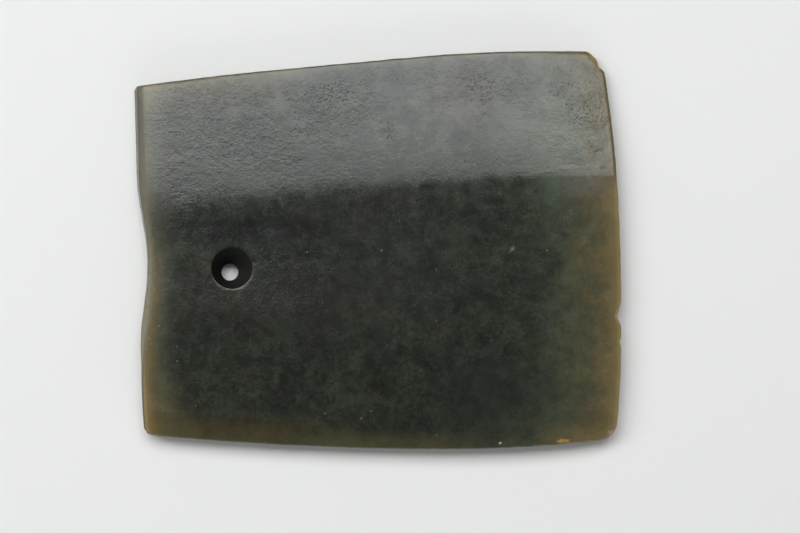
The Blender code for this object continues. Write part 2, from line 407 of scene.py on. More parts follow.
@dataclass
class Relief:
    """Heights of the front and the back over the plan, with the wear that is too fine for the solid.

    A roll or a lip of a face at a border is given as its reach and its amount. The arris turns by a
    change of slope at each place, and its wear, like what widens the lip, is an amount that fades out
    between two places. The butt is ground in a steep side and a bevel, whose widths are given at
    places across the blade. The groove has a middle, a width and a depth.
    """

    outline: Outline
    thickness: float = 9.6
    arris_at_butt: float = 15.0
    arris_turns: tuple[tuple[float, float], ...] = (
        (-56.0, 0.105),
        (-28.0, 0.056),
        (-12.0, -0.056),
        (-5.0, -0.09),
        (5.0, 0.062),
        (40.0, -0.055),
    )
    arris_turn_soft: float = 5.0
    arris_soft: float = 0.38
    arris_wear: tuple[tuple[float, float, float], ...] = ((0.65, 25.0, 80.0), (0.7, -70.0, 20.0))
    facet_tilt: float = 4.2
    facet_crown: float = 4.7e-4
    front_butt: tuple[float, float] = (14.0, 0.8)
    butt_places: tuple[float, ...] = (-60.0, -43.0, -33.0, -24.0, -14.0, -6.0, 5.0, 17.0, 34.0, 55.0)
    steep_widths: tuple[float, ...] = (0.3, 0.3, 0.3, 0.4, 0.75, 0.8, 0.9, 1.1, 1.3, 1.0)
    bevel_widths: tuple[float, ...] = (0.3, 0.4, 1.4, 2.4, 1.7, 1.4, 1.7, 2.2, 2.3, 2.2)
    steep_drop: float = 4.6
    side_foot: float = 1.9
    steep_power: float = 1.1
    bevel_slope: float = 0.42
    bevel_soft: float = 0.2
    front_bottom: tuple[float, float] = (9.0, 1.6)
    front_edge: tuple[float, float] = (33.0, 2.8)
    back_butt: tuple[float, float] = (7.5, 0.8)
    back_top: tuple[float, float] = (5.7, 1.3)
    back_bottom: tuple[float, float] = (7.5, 1.8)
    back_edge_reach: float = 45.0
    back_edge_power: float = 1.6
    edge_thickness: float = 1.1
    lip_reach: float = 0.8
    lip_drop: float = 0.4
    lip_drop_worn: float = 0.12
    top_lip: tuple[float, float] = (1.15, 0.20)
    top_lip_wider: tuple[float, float, float] = (0.6, 12.0, 45.0)
    lip_share: float = 0.3
    wear_inset: float = 2.0
    front_seed: int = 50
    back_seed: int = 80
    long_waves: tuple[Waves, ...] = (Waves(0.07, 31.0, 1.6, 0), Waves(0.018, 9.0, 2.4, 1))
    short_waves: tuple[Waves, ...] = (Waves(0.018, 3.3, 1.3, 2), Waves(0.014, 1.8, 1.1, 3))
    faint_waves: Waves = Waves(0.004, 3.0, 3.0, 4)
    back_rough: Waves = Waves(0.25, 20.0, 1.0, 90)
    back_lift: float = 0.06
    groove: tuple[float, float, float] = (7.5, 1.7, 0.05)
    groove_wander: Waves = Waves(0.9, 17.0, 1.0, 57)
    groove_start: tuple[float, float] = (-72.0, -62.0)
    groove_end: tuple[float, float] = (-28.0, -8.0)
    scar_drop: float = 0.12
    scar_power: float = 1.4
    scar_ripple: Waves = Waves(0.12, 1.3, 1.0, 21)
    pitted: tuple[Patch, ...] = (
        Patch(-46.0, 43.0, 26.0, 17.0, 0.85, 5.0),
        Patch(-58.0, 55.0, 17.0, 7.0, 0.6, 3.0),
        Patch(-70.0, 36.0, 7.0, 20.0, 0.5, 0.0),
        Patch(-14.0, 50.0, 16.0, 12.0, 0.7, 0.0),
        Patch(-20.0, 31.0, 18.0, 7.0, 0.20, 0.0),
        Patch(38.0, 57.0, 15.0, 10.0, 0.5, 20.0),
        Patch(12.0, 58.0, 24.0, 7.0, 0.42, 0.0),
        Patch(64.0, 52.0, 20.0, 15.0, 0.34, 0.0),
        Patch(-75.0, -32.0, 6.0, 36.0, 0.22, 3.0),
        Patch(71.0, 43.0, 8.0, 12.0, 0.3, -10.0),
        Patch(-45.0, -11.0, 34.0, 14.5, 0.54, -2.0),
        Patch(-66.0, 12.0, 11.0, 11.0, 0.40, 0.0),
        Patch(0.0, 44.0, 140.0, 36.0, 0.11, 0.0),
        Patch(0.0, 0.0, 140.0, 90.0, 0.10, 0.0),
    )
    smooth: tuple[Patch, ...] = (
        Patch(-34.5, 53.5, 9.0, 2.6, 0.8, -52.0),
        Patch(-52.0, 47.5, 4.0, 3.0, 0.5, 0.0),
        Patch(-29.0, 44.0, 3.0, 3.0, 0.6, 0.0),
        Patch(24.0, 38.0, 25.0, 9.0, 0.5, 3.0),
        Patch(-44.0, 66.5, 44.0, 4.0, 0.8, 4.0),
        Patch(-22.0, 13.5, 34.0, 5.0, 0.6, 4.0),
    )
    pocked: tuple[Patch, ...] = (
        Patch(-14.5, 53.6, 7.0, 5.0, 0.95, 0.0),
        Patch(-3.0, 54.5, 4.0, 3.0, 0.7, 0.0),
        Patch(2.4, 40.0, 4.0, 3.0, 0.9, 0.0),
        Patch(9.0, 54.3, 1.4, 1.2, 1.0, 0.0),
        Patch(-44.0, 42.0, 27.0, 15.0, 0.5, 5.0),
        Patch(-22.0, 44.0, 10.0, 10.0, 0.45, 0.0),
        Patch(36.0, 55.0, 4.5, 9.0, 0.85, 0.0),
        Patch(28.0, 60.0, 10.0, 6.0, 0.5, 0.0),
        Patch(66.0, 52.0, 14.0, 11.0, 0.7, 0.0),
        Patch(72.5, 43.0, 6.5, 9.0, 0.62, 0.0),
        Patch(74.5, 35.0, 2.0, 2.0, 1.0, 0.0),
        Patch(60.0, 33.0, 9.0, 4.0, 0.45, 0.0),
    )

    @staticmethod
    def roll(distance: Array, shape: tuple[float, float], power: float = 2.0) -> Array:
        """Fall of a face near its border: amount times (1 - distance / reach)^power.

        Args:
            distance: Distance from the border.
            shape: The roll's reach and its amount.
            power: How it ends.

        Returns:
            How far the face has fallen.
        """
        reach, amount = shape
        return amount * np.maximum(1.0 - distance / reach, 0.0) ** power

    def arris_line(self, x: Array) -> Array:
        """Worn line of the arris: level at the butt, then straight runs joined softly.

        Args:
            x: Places along the blade.

        Returns:
            Its places across the blade.
        """
        soft = self.arris_turn_soft
        turns = (change * soft_ramp(x - start, soft) for start, change in self.arris_turns)
        return self.arris_at_butt + sum(turns)

    def arris_softness(self, x: Array) -> Array:
        """How worn the arris is: broad at the butt and crisp at the cutting edge.

        Args:
            x: Places along the blade.

        Returns:
            Width of its turn at each x.
        """
        softness = self.arris_soft
        for more, start, end in self.arris_wear:
            softness = softness + more * (1.0 - smooth_step(start, end, x))
        return softness

    def facet(self, x: Array, y: Array) -> Array:
        """Fall of the +Y ground plane: a tilt and a slight crown past the arris."""
        past = soft_ramp(y - self.arris_line(x), self.arris_softness(x))
        return math.tan(math.radians(self.facet_tilt)) * past + self.facet_crown * past**2

    def front(self, x: Array, y: Array, borders: tuple[Array, ...]) -> Array:
        """Height of the front before its lip: thickness less the facet, the rolls and the bevels.

        Args:
            x: Places along the blade.
            y: Places across the blade.
            borders: Distances from the butt, the cutting edge, the -Y and the +Y border.

        Returns:
            Heights over the floor.
        """
        butt, edge, bottom, _ = borders
        rolled = self.roll(butt, self.front_butt) + self.roll(edge, self.front_edge)
        rolled = rolled + self.roll(bottom, self.front_bottom)
        steep = np.interp(y, self.butt_places, self.steep_widths)
        bevel = np.interp(y, self.butt_places, self.bevel_widths)
        past = soft_ramp(steep + bevel - butt, self.bevel_soft)
        ground = self.bevel_slope * np.minimum(past, bevel)
        before = self.thickness - self.facet(x, y) - rolled - ground
        drop = np.clip(before - self.side_foot, 0.0, self.steep_drop)
        return before - drop * np.maximum(1.0 - butt / steep, 0.0) ** self.steep_power

    def back(self, x: Array, y: Array, borders: tuple[Array, ...]) -> Array:
        """Height of the back before its lip: the highest of its rolls.

        Args:
            x: Places along the blade.
            y: Places across the blade.
            borders: Distances from the butt, the cutting edge, the -Y and the +Y border.

        Returns:
            Heights over the floor.
        """
        butt, edge, bottom, top = borders
        zero = np.zeros_like(edge)
        at_edge = self.front(x + edge, y, (butt + edge, zero, bottom, top)) - self.edge_thickness
        rise = at_edge * np.maximum(1.0 - edge / self.back_edge_reach, 0.0) ** self.back_edge_power
        others = (
            self.roll(butt, self.back_butt),
            self.roll(top, self.back_top),
            self.roll(bottom, self.back_bottom),
        )
        return np.maximum.reduce((rise, *others))

    def pitting(self, x: Array, y: Array) -> Array:
        """Share of rough, pitted surface, with ragged borders."""
        places = shaken(x, y, 3.0, 6.0, 31)
        return cover(self.pitted, *places) * (1.0 - cover(self.smooth, *places))

    def pocking(self, x: Array, y: Array) -> Array:
        """Share of small pocks, in clusters with ragged borders; the material darkens them with painted
        shade.
        """
        return cover(self.pocked, *shaken(x, y, 2.0, 4.0, 41))

    def lip(self, borders: tuple[Array, ...], gap: Array, side: Side) -> Array:
        """Narrow worn fall right at the border: amount times (1 - distance / reach)^2.

        Args:
            borders: Distances from the four borders, along the grid.
            gap: Thickness of the blade there.
            side: Which face. The front's lip is full at the +Y border, slight at the -Y border and
                the cutting edge, and absent at the butt; the back's is full all round.

        Returns:
            How far the face has fallen.
        """
        butt, edge, bottom, top = borders
        full = np.minimum(self.lip_drop, self.lip_share * gap)
        if side is Side.BACK:
            return self.roll(np.minimum.reduce(borders), (self.lip_reach, 1.0)) * full
        worn = self.roll(np.minimum(edge, bottom), (self.lip_reach, self.lip_drop_worn))
        reach, amount = self.top_lip
        more, start, end = self.top_lip_wider
        wider = 1.0 + more * (1.0 - smooth_step(start, end, butt))
        fallen = np.minimum(amount * wider, self.lip_share * gap)
        return np.maximum(np.maximum(1.0 - top / (reach * wider), 0.0) ** 2 * fallen, worn)

    def wear(self, x: Array, y: Array, rim: Array, side: Side) -> Array:
        """Unevenness left by grinding: long shallow waves, and short ones where it is pitted.

        The front also has a shallow groove before the arris, which fades out at both ends.

        Args:
            x: Places along the blade.
            y: Places across the blade.
            rim: Distance from the nearest border.
            side: Which face.

        Returns:
            Heights to add to the face.
        """
        front = side is Side.FRONT
        seed = self.front_seed if front else self.back_seed
        waves = sum(layer.at(x, y, seed) for layer in self.long_waves)
        short = sum(layer.at(x, y, seed) for layer in self.short_waves)
        faint = self.faint_waves.at(x, y, seed)
        if front:
            rough = self.pitting(x, y)
            middle, width, depth = self.groove
            line = y - middle - self.groove_wander.at(x, y)
            reach = smooth_step(*self.groove_start, x) * (1.0 - smooth_step(*self.groove_end, x))
            waves = waves - depth * reach * np.exp(-((line / width) ** 2))
        else:
            rough = self.back_rough.height + self.back_rough.at(x, y)
        return smooth_step(0.0, self.wear_inset, rim) * (waves + rough * short + faint)


@dataclass
class LashingHole:
    """The lashing hole: a wide leaning cone from the front and a short one from the back.

    Attributes:
        mouth: Middle of the wide mouth on the front.
        mouth_radius: Its radius.
        waist: Middle of the waist, where the two cones meet.
        waist_radius: Its radius.
        waist_share: Its height, as a share of the blade's thickness.
        end: Middle of the small mouth on the back.
        end_radius: Its radius.
        block: Half-side of the block of grid cells that the hole stands in.
        spread: Where the grid is square again, in half-blocks.
        rings: Rings of points down the front cone.
        back_rings: Rings of points down the back cone.
        rim_shares: Heights of the rings of the worn rim, as shares of the whole.
        rim_out: How far the first of them stand out, as shares of the wear.
        front_shares: Heights of the front cone's first ring, and of its last over the waist.
        back_shares: Heights of the back cone's first ring under the waist, and of its last.
        rim_wear: How far the worn rim of the mouth reaches out.
        least_wear: Share of the wear that is left where the rim is worn least.
        end_wear: How far the rim at the back reaches out.
        drill_rings: Depth of the faint rings that the drill left, their pace and their swing.
        flute: How far the cones are out of round.
        true_reach: Shares of the height over which they turn true: at the mouth, end and waist.
        worn_side: Turn of the wear from +X, in radians, clockwise.
        thin_side: Turn of the side with the most painted glow of thin stone, from +X, in radians, clockwise.
        thin_power: How narrow that side is.
        thin_reach: Share of the height over which the painted glow at the waist fades.
        chips: Small chips in the mouth's rim.
    """

    mouth: tuple[float, float] = (-49.2, -6.15)
    mouth_radius: float = 6.96
    waist: tuple[float, float] = (-50.26, -7.49)
    waist_radius: float = 2.86
    waist_share: float = 0.42
    end: tuple[float, float] = (-50.4, -7.6)
    end_radius: float = 4.3
    block: int = 9
    spread: float = 2.6
    rings: int = 14
    back_rings: int = 5
    rim_shares: tuple[float, ...] = (0.9955, 0.985, 0.966)
    rim_out: tuple[float, float] = (0.5, 0.17)
    front_shares: tuple[float, float] = (0.945, 0.02)
    back_shares: tuple[float, float] = (0.02, 0.025)
    rim_wear: float = 0.21
    least_wear: float = 0.15
    end_wear: float = 0.2
    drill_rings: tuple[float, float, float] = (0.05, 52.0, 1.3)
    flute: float = 0.06
    true_reach: tuple[float, float, float] = (0.15, 0.1, 0.1)
    worn_side: float = 0.5
    thin_side: float = 0.6
    thin_power: float = 1.5
    thin_reach: float = 0.09
    chips: tuple[Patch, ...] = (
        Patch(-42.1, -4.3, 0.55, 0.6, 0.14, 0.0),
        Patch(-45.6, -12.4, 0.8, 0.6, 0.08, 30.0),
    )

    def steps(self, x: Array, y: Array) -> tuple[Array, Array]:
        """Each grid point's columns and rows away from the point nearest to the middle of the mouth.

        Args:
            x: Grid places along the blade.
            y: Grid places across the blade.

        Returns:
            The columns and the rows away, negative before it.
        """
        rows, columns = x.shape
        away = np.hypot(x - self.mouth[0], y - self.mouth[1])
        middle_row, middle_column = np.unravel_index(np.argmin(away), away.shape)
        step_x = np.zeros(x.shape) + np.arange(columns) - middle_column
        step_y = np.zeros(x.shape) + (np.arange(rows) - middle_row)[:, None]
        return step_x, step_y

    def draw_in(
        self, x: Array, y: Array, step_x: Array, step_y: Array, centre: tuple[float, float], radius: float
    ) -> tuple[Array, Array]:
        """Turn the square rings of grid points round the hole into circles, less and less outwards.

        Args:
            x: Grid places along the blade.
            y: Grid places across the blade.
            step_x: Each point's columns away from the hole's middle column.
            step_y: Each point's rows away from its middle row.
            centre: Middle of the circle.
            radius: Radius of the innermost ring.

        Returns:
            The drawn places. A ring n half-blocks out has the radius n times the innermost one, and a
            point at share s of the ring's side stands at s times 45 degrees from its middle.
        """
        larger = np.maximum(np.abs(step_x), np.abs(step_y))
        ring = larger / self.block
        sideways = np.abs(step_x) >= np.abs(step_y)
        share = np.where(sideways, step_y, step_x) / np.maximum(larger, 1)
        turn = share * math.pi / 4.0
        main, minor = np.cos(turn), np.sin(turn)
        unit_x = np.where(sideways, np.sign(step_x) * main, minor)
        unit_y = np.where(sideways, minor, np.sign(step_y) * main)
        weight = 1.0 - smooth_step(1.0, self.spread, ring)
        circle_x = centre[0] + radius * ring * unit_x
        circle_y = centre[1] + radius * ring * unit_y
        return x + weight * (circle_x - x), y + weight * (circle_y - y)

    def heights(self) -> tuple[Array, Array]:
        """Share of the height of each ring down the hole, and how far it is worn out.

        Returns:
            The shares, from the mouth down, and the wear of each ring.
        """
        (highest, over), (under, lowest) = self.front_shares, self.back_shares
        upper = np.linspace(highest, self.waist_share + over, self.rings)
        lower = np.linspace(self.waist_share - under, lowest, self.back_rings)
        share = np.concatenate((self.rim_shares, upper, (self.waist_share,), lower))
        wear = np.zeros(len(share))
        wear[:2] = np.array(self.rim_out) * self.rim_wear
        return share, wear

    def wall(self, top: Array, bottom: Array) -> Array:
        """Rings of points down the hole: a worn rim, and two cones with faint drill rings.

        The rim is worn most towards +X and least towards -X. The cones are slightly out of round,
        and true at the mouth, the waist and the end.

        Args:
            top: Loop of points round the mouth, on the front.
            bottom: Loop of points round the small mouth, on the back.

        Returns:
            Array of rings by points by 3. A ring at share t of the height has its middle and its
            radius in line between those of the mouth, the waist and the end, and stands out by its wear.
        """
        share, wear = self.heights()
        knots = (0.0, self.waist_share, 1.0)
        out = top[:, :2] - np.array(self.mouth)
        out = out / np.linalg.norm(out, axis=1, keepdims=True)
        turn = np.arctan2(out[:, 1], out[:, 0])
        middle = np.stack(
            [np.interp(share, knots, line) for line in zip(self.end, self.waist, self.mouth)], -1
        )
        radius = np.interp(share, knots, (self.end_radius, self.waist_radius, self.mouth_radius))
        facing = 0.5 + 0.5 * np.cos(turn + self.worn_side)
        worn = self.least_wear + (1.0 - self.least_wear) * facing
        at_mouth, at_end, at_waist = self.true_reach
        inside = smooth_step(0.0, at_mouth, 1.0 - share) * smooth_step(0.0, at_end, share)
        inside = inside * smooth_step(0.0, at_waist, np.abs(share - self.waist_share))
        depth, pace, swing = self.drill_rings
        swung = swing * np.sin(turn + self.worn_side)
        drill = depth * np.sin(pace * share[:, None] + swung[None, :])
        flute = self.flute * np.sin(2.0 * turn + 1.0)[None, :]
        around = radius[:, None] + wear[:, None] * worn[None, :] + inside[:, None] * (drill + flute)
        rings = np.empty((len(share), len(top), 3))
        rings[:, :, :2] = middle[:, None, :] + out[None, :, :] * around[:, :, None]
        rings[:, :, 2] = bottom[None, :, 2] + (top[:, 2] - bottom[:, 2])[None, :] * share[:, None]
        return rings

    def thin_rim(self, top: Array) -> Array:
        """Painted glow of thin stone at each point of the rings.

        Half of it is there all the way up, and half fades by e^(-height from the waist / reach).

        Args:
            top: Loop of points round the mouth, on the front.

        Returns:
            Array of rings by points, from 0 to 1, full on the side towards +X and -Y.
        """
        share = self.heights()[0]
        turn = np.arctan2(top[:, 1] - self.mouth[1], top[:, 0] - self.mouth[0])
        facing = (0.5 + 0.5 * np.cos(turn + self.thin_side)) ** self.thin_power
        near_waist = 0.5 + 0.5 * np.exp(-np.abs(share - self.waist_share) / self.thin_reach)
        return near_waist[:, None] * facing[None, :]


@dataclass(frozen=True)
class Plan:
    """The blade's grid of points in plan, before the hole is drawn in.

    Attributes:
        x: Places along the blade.
        y: Places across the blade.
        seat: Distances from the butt, the cutting edge, the -Y border and the +Y border.
        borders: The same along the grid, so that they reach 0 at a broken border too.
        scar: Share of scarring, from 0 to 1 at a broken border.
    """

    x: Array
    y: Array
    seat: tuple[Array, ...]
    borders: tuple[Array, ...]
    scar: Array


@dataclass(frozen=True)
class ThinGlow:
    """Painted glow of the light that comes through where the stone is thin, least far from the borders.

    At each border it is an amount times e^(-distance / reach), at the butt with the distance from
    the bevel, and the borders' darknesses are multiplied together. A value with two numbers is the
    amount or the reach, and what a part of the border adds to it.

    Attributes:
        butt: Amount at the butt, with what its half below the hollow adds; above the hollow it is also a
            painted sheen where the butt rounds down.
        heel: What the butt's heel adds to that.
        butt_reach: Reach at the butt, with what its lower part adds.
        edge: Amount at the cutting edge, with what its end near the +Y border adds.
        edge_reach: Reach at the cutting edge.
        rim: The same amounts for the narrow rim of the cutting edge.
        rim_reach: Reach of the rim.
        corner: Amount at the -Y border near the cutting edge.
        corner_reach: Reach there.
        bottom: Amount all along the -Y border.
        bottom_reach: Reach there.
        top: Amount at the +Y border.
        top_reach: Reach there, with what its part near the butt adds, where it also paints a sheen along
            that border.
        scar: Amount at a scarred border.
    """

    butt: tuple[float, float] = (0.40, 0.50)
    heel: float = 0.28
    butt_reach: tuple[float, float] = (2.75, 1.2)
    edge: tuple[float, float] = (0.86, -0.14)
    edge_reach: float = 12.0
    rim: tuple[float, float] = (0.12, -0.16)
    rim_reach: float = 2.0
    corner: float = 0.42
    corner_reach: float = 3.0
    bottom: float = 0.14
    bottom_reach: float = 7.0
    top: float = 0.42
    top_reach: tuple[float, float] = (2.0, 1.4)
    scar: float = 0.7

    def at(self, x: Array, y: Array, plan: Plan, bevel: Array) -> Array:
        """Work out the light.

        Args:
            x: Places along the blade.
            y: Places across the blade.
            plan: The grid's distances from the borders, and its scars.
            bevel: Width of the butt's bevel.

        Returns:
            How much light comes through, from 0 to 1.
        """
        butt, edge, bottom, top = plan.seat
        low, heel = smooth_step(6.0, -14.0, y), smooth_step(-25.0, -56.0, y)
        reach = self.butt_reach[0] + self.butt_reach[1] * smooth_step(-30.0, -52.0, y)
        amount = self.butt[0] + self.butt[1] * low + self.heel * heel
        from_butt = amount * np.exp(-np.maximum(butt - bevel, 0.0) / reach)
        high = smooth_step(20.0, 30.0, y)
        from_edge = (self.edge[0] + self.edge[1] * high) * np.exp(-edge / self.edge_reach)
        from_edge = from_edge + (self.rim[0] + self.rim[1] * high) * np.exp(-edge / self.rim_reach)
        corner = self.corner * smooth_step(50.0, 66.0, x) * np.exp(-bottom / self.corner_reach)
        from_bottom = self.bottom * np.exp(-bottom / self.bottom_reach) + corner
        reach = self.top_reach[0] + self.top_reach[1] * (1.0 - smooth_step(-60.0, -15.0, x))
        from_top = self.top * np.exp(-top / reach)
        dark = 1.0
        for lit in (from_edge, from_butt, from_bottom, from_top):
            dark = dark * (1.0 - np.clip(lit, 0.0, 1.0))
        return np.clip(1.0 - dark + self.scar * plan.scar, 0.0, 1.0)


@dataclass
class Skin:
    """A closed surface, put together in millimetres.

    Attributes:
        points: Its points, used or not.
        faces: Numbers of the four points of each face, anticlockwise from outside.
        finishes: Which of the piece's materials each face has.
        values: The piece's own values at each point, by name.
    """

    points: Array
    faces: Array
    finishes: Array
    values: dict[str, Array]

    def piece(self, name: str) -> bpy.types.Object:
        """Put the surface into a mesh.

        Args:
            name: Name of the mesh and of the object.

        Returns:
            The piece, in metres, its box centred over the origin and standing on the floor.
        """
        used, faces = np.unique(self.faces, return_inverse=True)
        faces = faces.reshape(-1, 4)
        points = self.points[used]
        low, high = points.min(0), points.max(0)
        shift = np.array(((low[0] + high[0]) / 2.0, (low[1] + high[1]) / 2.0, low[2]))
        mesh = bpy.data.meshes.new(name)
        mesh.from_pydata(((points - shift) * MM).tolist(), [], faces.tolist())
        for label, value in self.values.items():
            attribute = mesh.attributes.new(label, "FLOAT", "POINT")
            attribute.data.foreach_set("value", value[used].astype(np.float32))
        mesh.polygons.foreach_set("use_smooth", np.ones(len(faces), bool))
        mesh.polygons.foreach_set("material_index", self.finishes)
        mesh.update()
        piece = bpy.data.objects.new(name, mesh)
        bpy.context.scene.collection.objects.link(piece)
        LOG.info("%s: %d points, %d faces, shift %s", name, len(points), len(faces), np.round(shift, 3))
        return piece


@dataclass
class Blade:
    """The nephrite blade: two ground faces, the side between them and the hole, as one closed skin.

    A face is a grid of points. A column stands at a share between the butt and the cutting edge plus
    an offset, and a row at a share between the -Y border, the arris and the +Y border plus an offset.
    The scar of a notch has a least width, what its depth adds, and the depth at which it is full.
    That of the broken corner has a mean width, its share that comes and goes, and its pace.
    """

    outline: Outline = field(default_factory=Outline)
    hole: LashingHole = field(default_factory=LashingHole)
    thin: ThinGlow = ThinGlow()
    half_length: float = 82.5
    half_width: float = 67.5
    first_step: float = 0.22
    full_step: float = 0.8
    growth: float = 1.17
    band: float = 9.0
    most_steps: int = 40
    first_halves: tuple[float, float] = (80.0, 65.0)
    rounds: int = 6
    side_rings: int = 5
    side_inset: float = 0.14
    ripples: tuple[Waves, ...] = (Waves(1.0, 1.9, 1.0, 7), Waves(0.8, 5.0, 1.0, 8))
    notch_scar: tuple[float, float, float] = (0.3, 0.9, 0.6)
    break_scar: tuple[float, float, float] = (1.7, 0.25, 7.0)
    break_scar_start: tuple[float, float] = (0.12, 0.35)
    break_scar_end: tuple[float, float] = (1.2, 1.45)
    arris_offsets: tuple[float, ...] = (-1.6, -0.8, -0.3, 0.0, 0.3, 0.8, 1.6)
    bevel_places: tuple[float, ...] = (-60.0, -40.0, -24.0, -6.0, 5.0, 17.0, 34.0, 48.0, 55.0)
    bevel_rind: tuple[float, ...] = (0.78, 0.95, 0.90, 0.85, 0.65, 0.58, 0.52, 0.46, 0.50)
    rind_on_side: float = 0.4
    rind_start: tuple[float, float] = (-0.3, 0.2)
    rind_end: tuple[float, float] = (-0.9, 1.0)
    side_pitted: float = 0.3
    side_pocked: float = 0.2
    wall_pitted: float = 0.6
    back_pitted: float = 0.35
    back_pocked: float = 0.2
    relief: Relief = field(init=False)

    def __post_init__(self) -> None:
        """Give the two faces their border."""
        self.relief = Relief(self.outline)

    def near_border(self) -> Array:
        """Distances of the stations near a border: steps that grow to the full step.

        Returns:
            The distances, from 0 to the width of the band.
        """
        growth = self.growth ** np.arange(self.most_steps)
        steps = np.minimum(self.first_step * growth, self.full_step)
        reached = np.concatenate(([0.0], np.cumsum(steps)))
        return reached[reached <= self.band]

    def column_stations(self) -> tuple[Array, Array]:
        """Share of the cutting edge's line in each column, and the column's offset.

        Returns:
            The shares, where 0 is the butt's line, and the offsets.
        """
        near = self.near_border()
        run = self.outline.edge_level - self.outline.butt_line_x - 2.0 * near[-1]
        count = round(run / self.full_step)
        share = np.arange(1, count) / count
        weights = np.concatenate((np.zeros(len(near)), share, np.ones(len(near))))
        offsets = np.concatenate((near, near[-1] * (1.0 - 2.0 * share), -near[::-1]))
        return weights, offsets

    def row_stations(self) -> tuple[Array, Array]:
        """Shares of the -Y border, the arris and the +Y border in each row, and its offset.

        Returns:
            The three shares of each row, and the offsets.
        """
        near = self.near_border()
        at_arris = np.array(self.arris_offsets)
        low_run = self.outline.arris_level - self.outline.bottom_level - near[-1] - at_arris[-1]
        high_run = self.outline.top_level - self.outline.arris_level - near[-1] - at_arris[-1]
        low = np.arange(1, round(low_run / self.full_step)) / round(low_run / self.full_step)
        high = np.arange(1, round(high_run / self.full_step)) / round(high_run / self.full_step)
        first, last = at_arris[0], at_arris[-1]
        above, below = len(at_arris) + len(high) + len(near), len(near) + len(low) + len(at_arris)
        bottom = np.concatenate((np.ones(len(near)), 1.0 - low, np.zeros(above)))
        top = np.concatenate((np.zeros(below), high, np.ones(len(near))))
        offsets = np.concatenate(
            (
                near,
                near[-1] * (1.0 - low) + first * low,
                at_arris,
                last * (1.0 - high) - near[-1] * high,
                -near[::-1],
            )
        )
        return np.stack((bottom, 1.0 - bottom - top, top)), offsets

    def stations(self) -> tuple[Array, Array]:
        """Plan places of the grid, where each column's line meets each row's.

        They are found in rounds from an even grid: the columns' lines at the rows' last places,
        then the rows' lines at the columns' new ones.

        Returns:
            Places along and across the blade, in rows from the -Y border and columns from the butt.
        """
        weight, column_offset = self.column_stations()
        shares, row_offset = self.row_stations()
        line = self.outline
        half_x, half_y = self.first_halves
        x = np.zeros((len(row_offset), len(weight))) + np.linspace(-half_x, half_x, len(weight))
        y = np.zeros_like(x) + np.linspace(-half_y, half_y, len(row_offset))[:, None]
        for _ in range(self.rounds):
            x = line.butt(y) * (1.0 - weight) + line.edge(y) * weight + column_offset
            rows = shares[0][:, None] * line.bottom(x) + shares[2][:, None] * line.top(x)
            y = rows + shares[1][:, None] * self.relief.arris_line(x) + row_offset[:, None]
        return x, y

    def chip(self, x: Array, y: Array, borders: tuple[Array, ...]) -> tuple[Array, Array, Array]:
        """Break the border: the notch and nick of the cutting edge, and the broken corner.

        Args:
            x: Places along the blade.
            y: Places across the blade.
            borders: Distances from the four borders.

        Returns:
            The moved places, and the share of each that is scarred, from 0 to 1 at the border.
        """
        line = self.outline
        edge = borders[1]
        depth = line.nicked(y)
        moved_x = x - depth * np.maximum(1.0 - edge / line.notch_reach, 0.0) ** 2
        least, more, full = self.notch_scar
        scar = np.maximum(1.0 - edge / (least + more * depth), 0.0) * np.clip(depth / full, 0.0, 1.0)
        out_x, out_y, inside, share = line.past_break(x, y)
        turn = np.arctan2(out_y, out_x)
        middle = smooth_step(*self.break_scar_start, turn)
        middle = middle * (1.0 - smooth_step(*self.break_scar_end, turn))
        mean, share_more, pace = self.break_scar
        reach = mean * (1.0 + share_more * np.sin(pace * turn))
        from_border = (1.0 - share) * line.break_radius
        corner = np.where(inside, np.maximum(1.0 - from_border / reach, 0.0) * middle, 0.0)
        moved_x, moved_y = line.break_corner(moved_x, y)
        return moved_x, moved_y, np.maximum(scar, corner)

    def plan(self) -> Plan:
        """Plan of both faces before the hole: the grid, chipped, with round corners and a fine ripple.

        Returns:
            The plan.
        """
        line = self.outline
        x, y = self.stations()
        borders = line.borders(x, y)
        rim = np.minimum.reduce(borders)
        x, y, scar = self.chip(x, y, borders)
        seat = line.borders(x, y)
        corners = (
            ((seat[0], seat[2]), (1, 1), line.radius_butt_low),
            ((seat[0], seat[3]), (1, -1), line.radius_butt_high),
            ((seat[1], seat[2]), (-1, 1), line.radius_edge_low),
        )
        for near, signs, radius in corners:
            x, y = line.round_corner(x, y, near, signs, radius)
        ragged = line.ripple * np.maximum(1.0 - rim / line.ripple_reach, 0.0)
        across = np.abs(x / self.half_length) < np.abs(y / self.half_width)
        noise = sum(layer.at(x, y) for layer in self.ripples)
        x = np.where(across, x, x + ragged * noise)
        y = np.where(across, y + ragged * noise, y)
        return Plan(x, y, seat, borders, scar)

    def face(self, side: Side, x: Array, y: Array, plan: Plan) -> Array:
        """Heights of one face: the ground form, its wear, its scars and its lip.

        Args:
            side: Which face.
            x: Places along the blade, drawn in round the hole.
            y: Places across the blade, drawn in round the hole.
            plan: The grid's distances from the borders, and its scars.

        Returns:
            Heights over the floor.
        """
        relief = self.relief
        front = relief.front(x, y, plan.seat)
        back = np.minimum(relief.back(x, y, plan.seat), front - relief.edge_thickness)
        rim = np.minimum.reduce(plan.borders)
        lip = relief.lip(plan.borders, front - back, side)
        wear = relief.wear(x, y, rim, side)
        if side is Side.BACK:
            lifted = np.maximum(wear + relief.back_lift, 0.0)
            return back + lip + lifted * smooth_step(0.0, relief.wear_inset, rim)
        for chip in self.hole.chips:
            wear = wear - chip.at(x, y)
        ripple = 1.0 + relief.scar_ripple.at(x, y)
        return front - lip + wear - relief.scar_drop * plan.scar**relief.scar_power * ripple

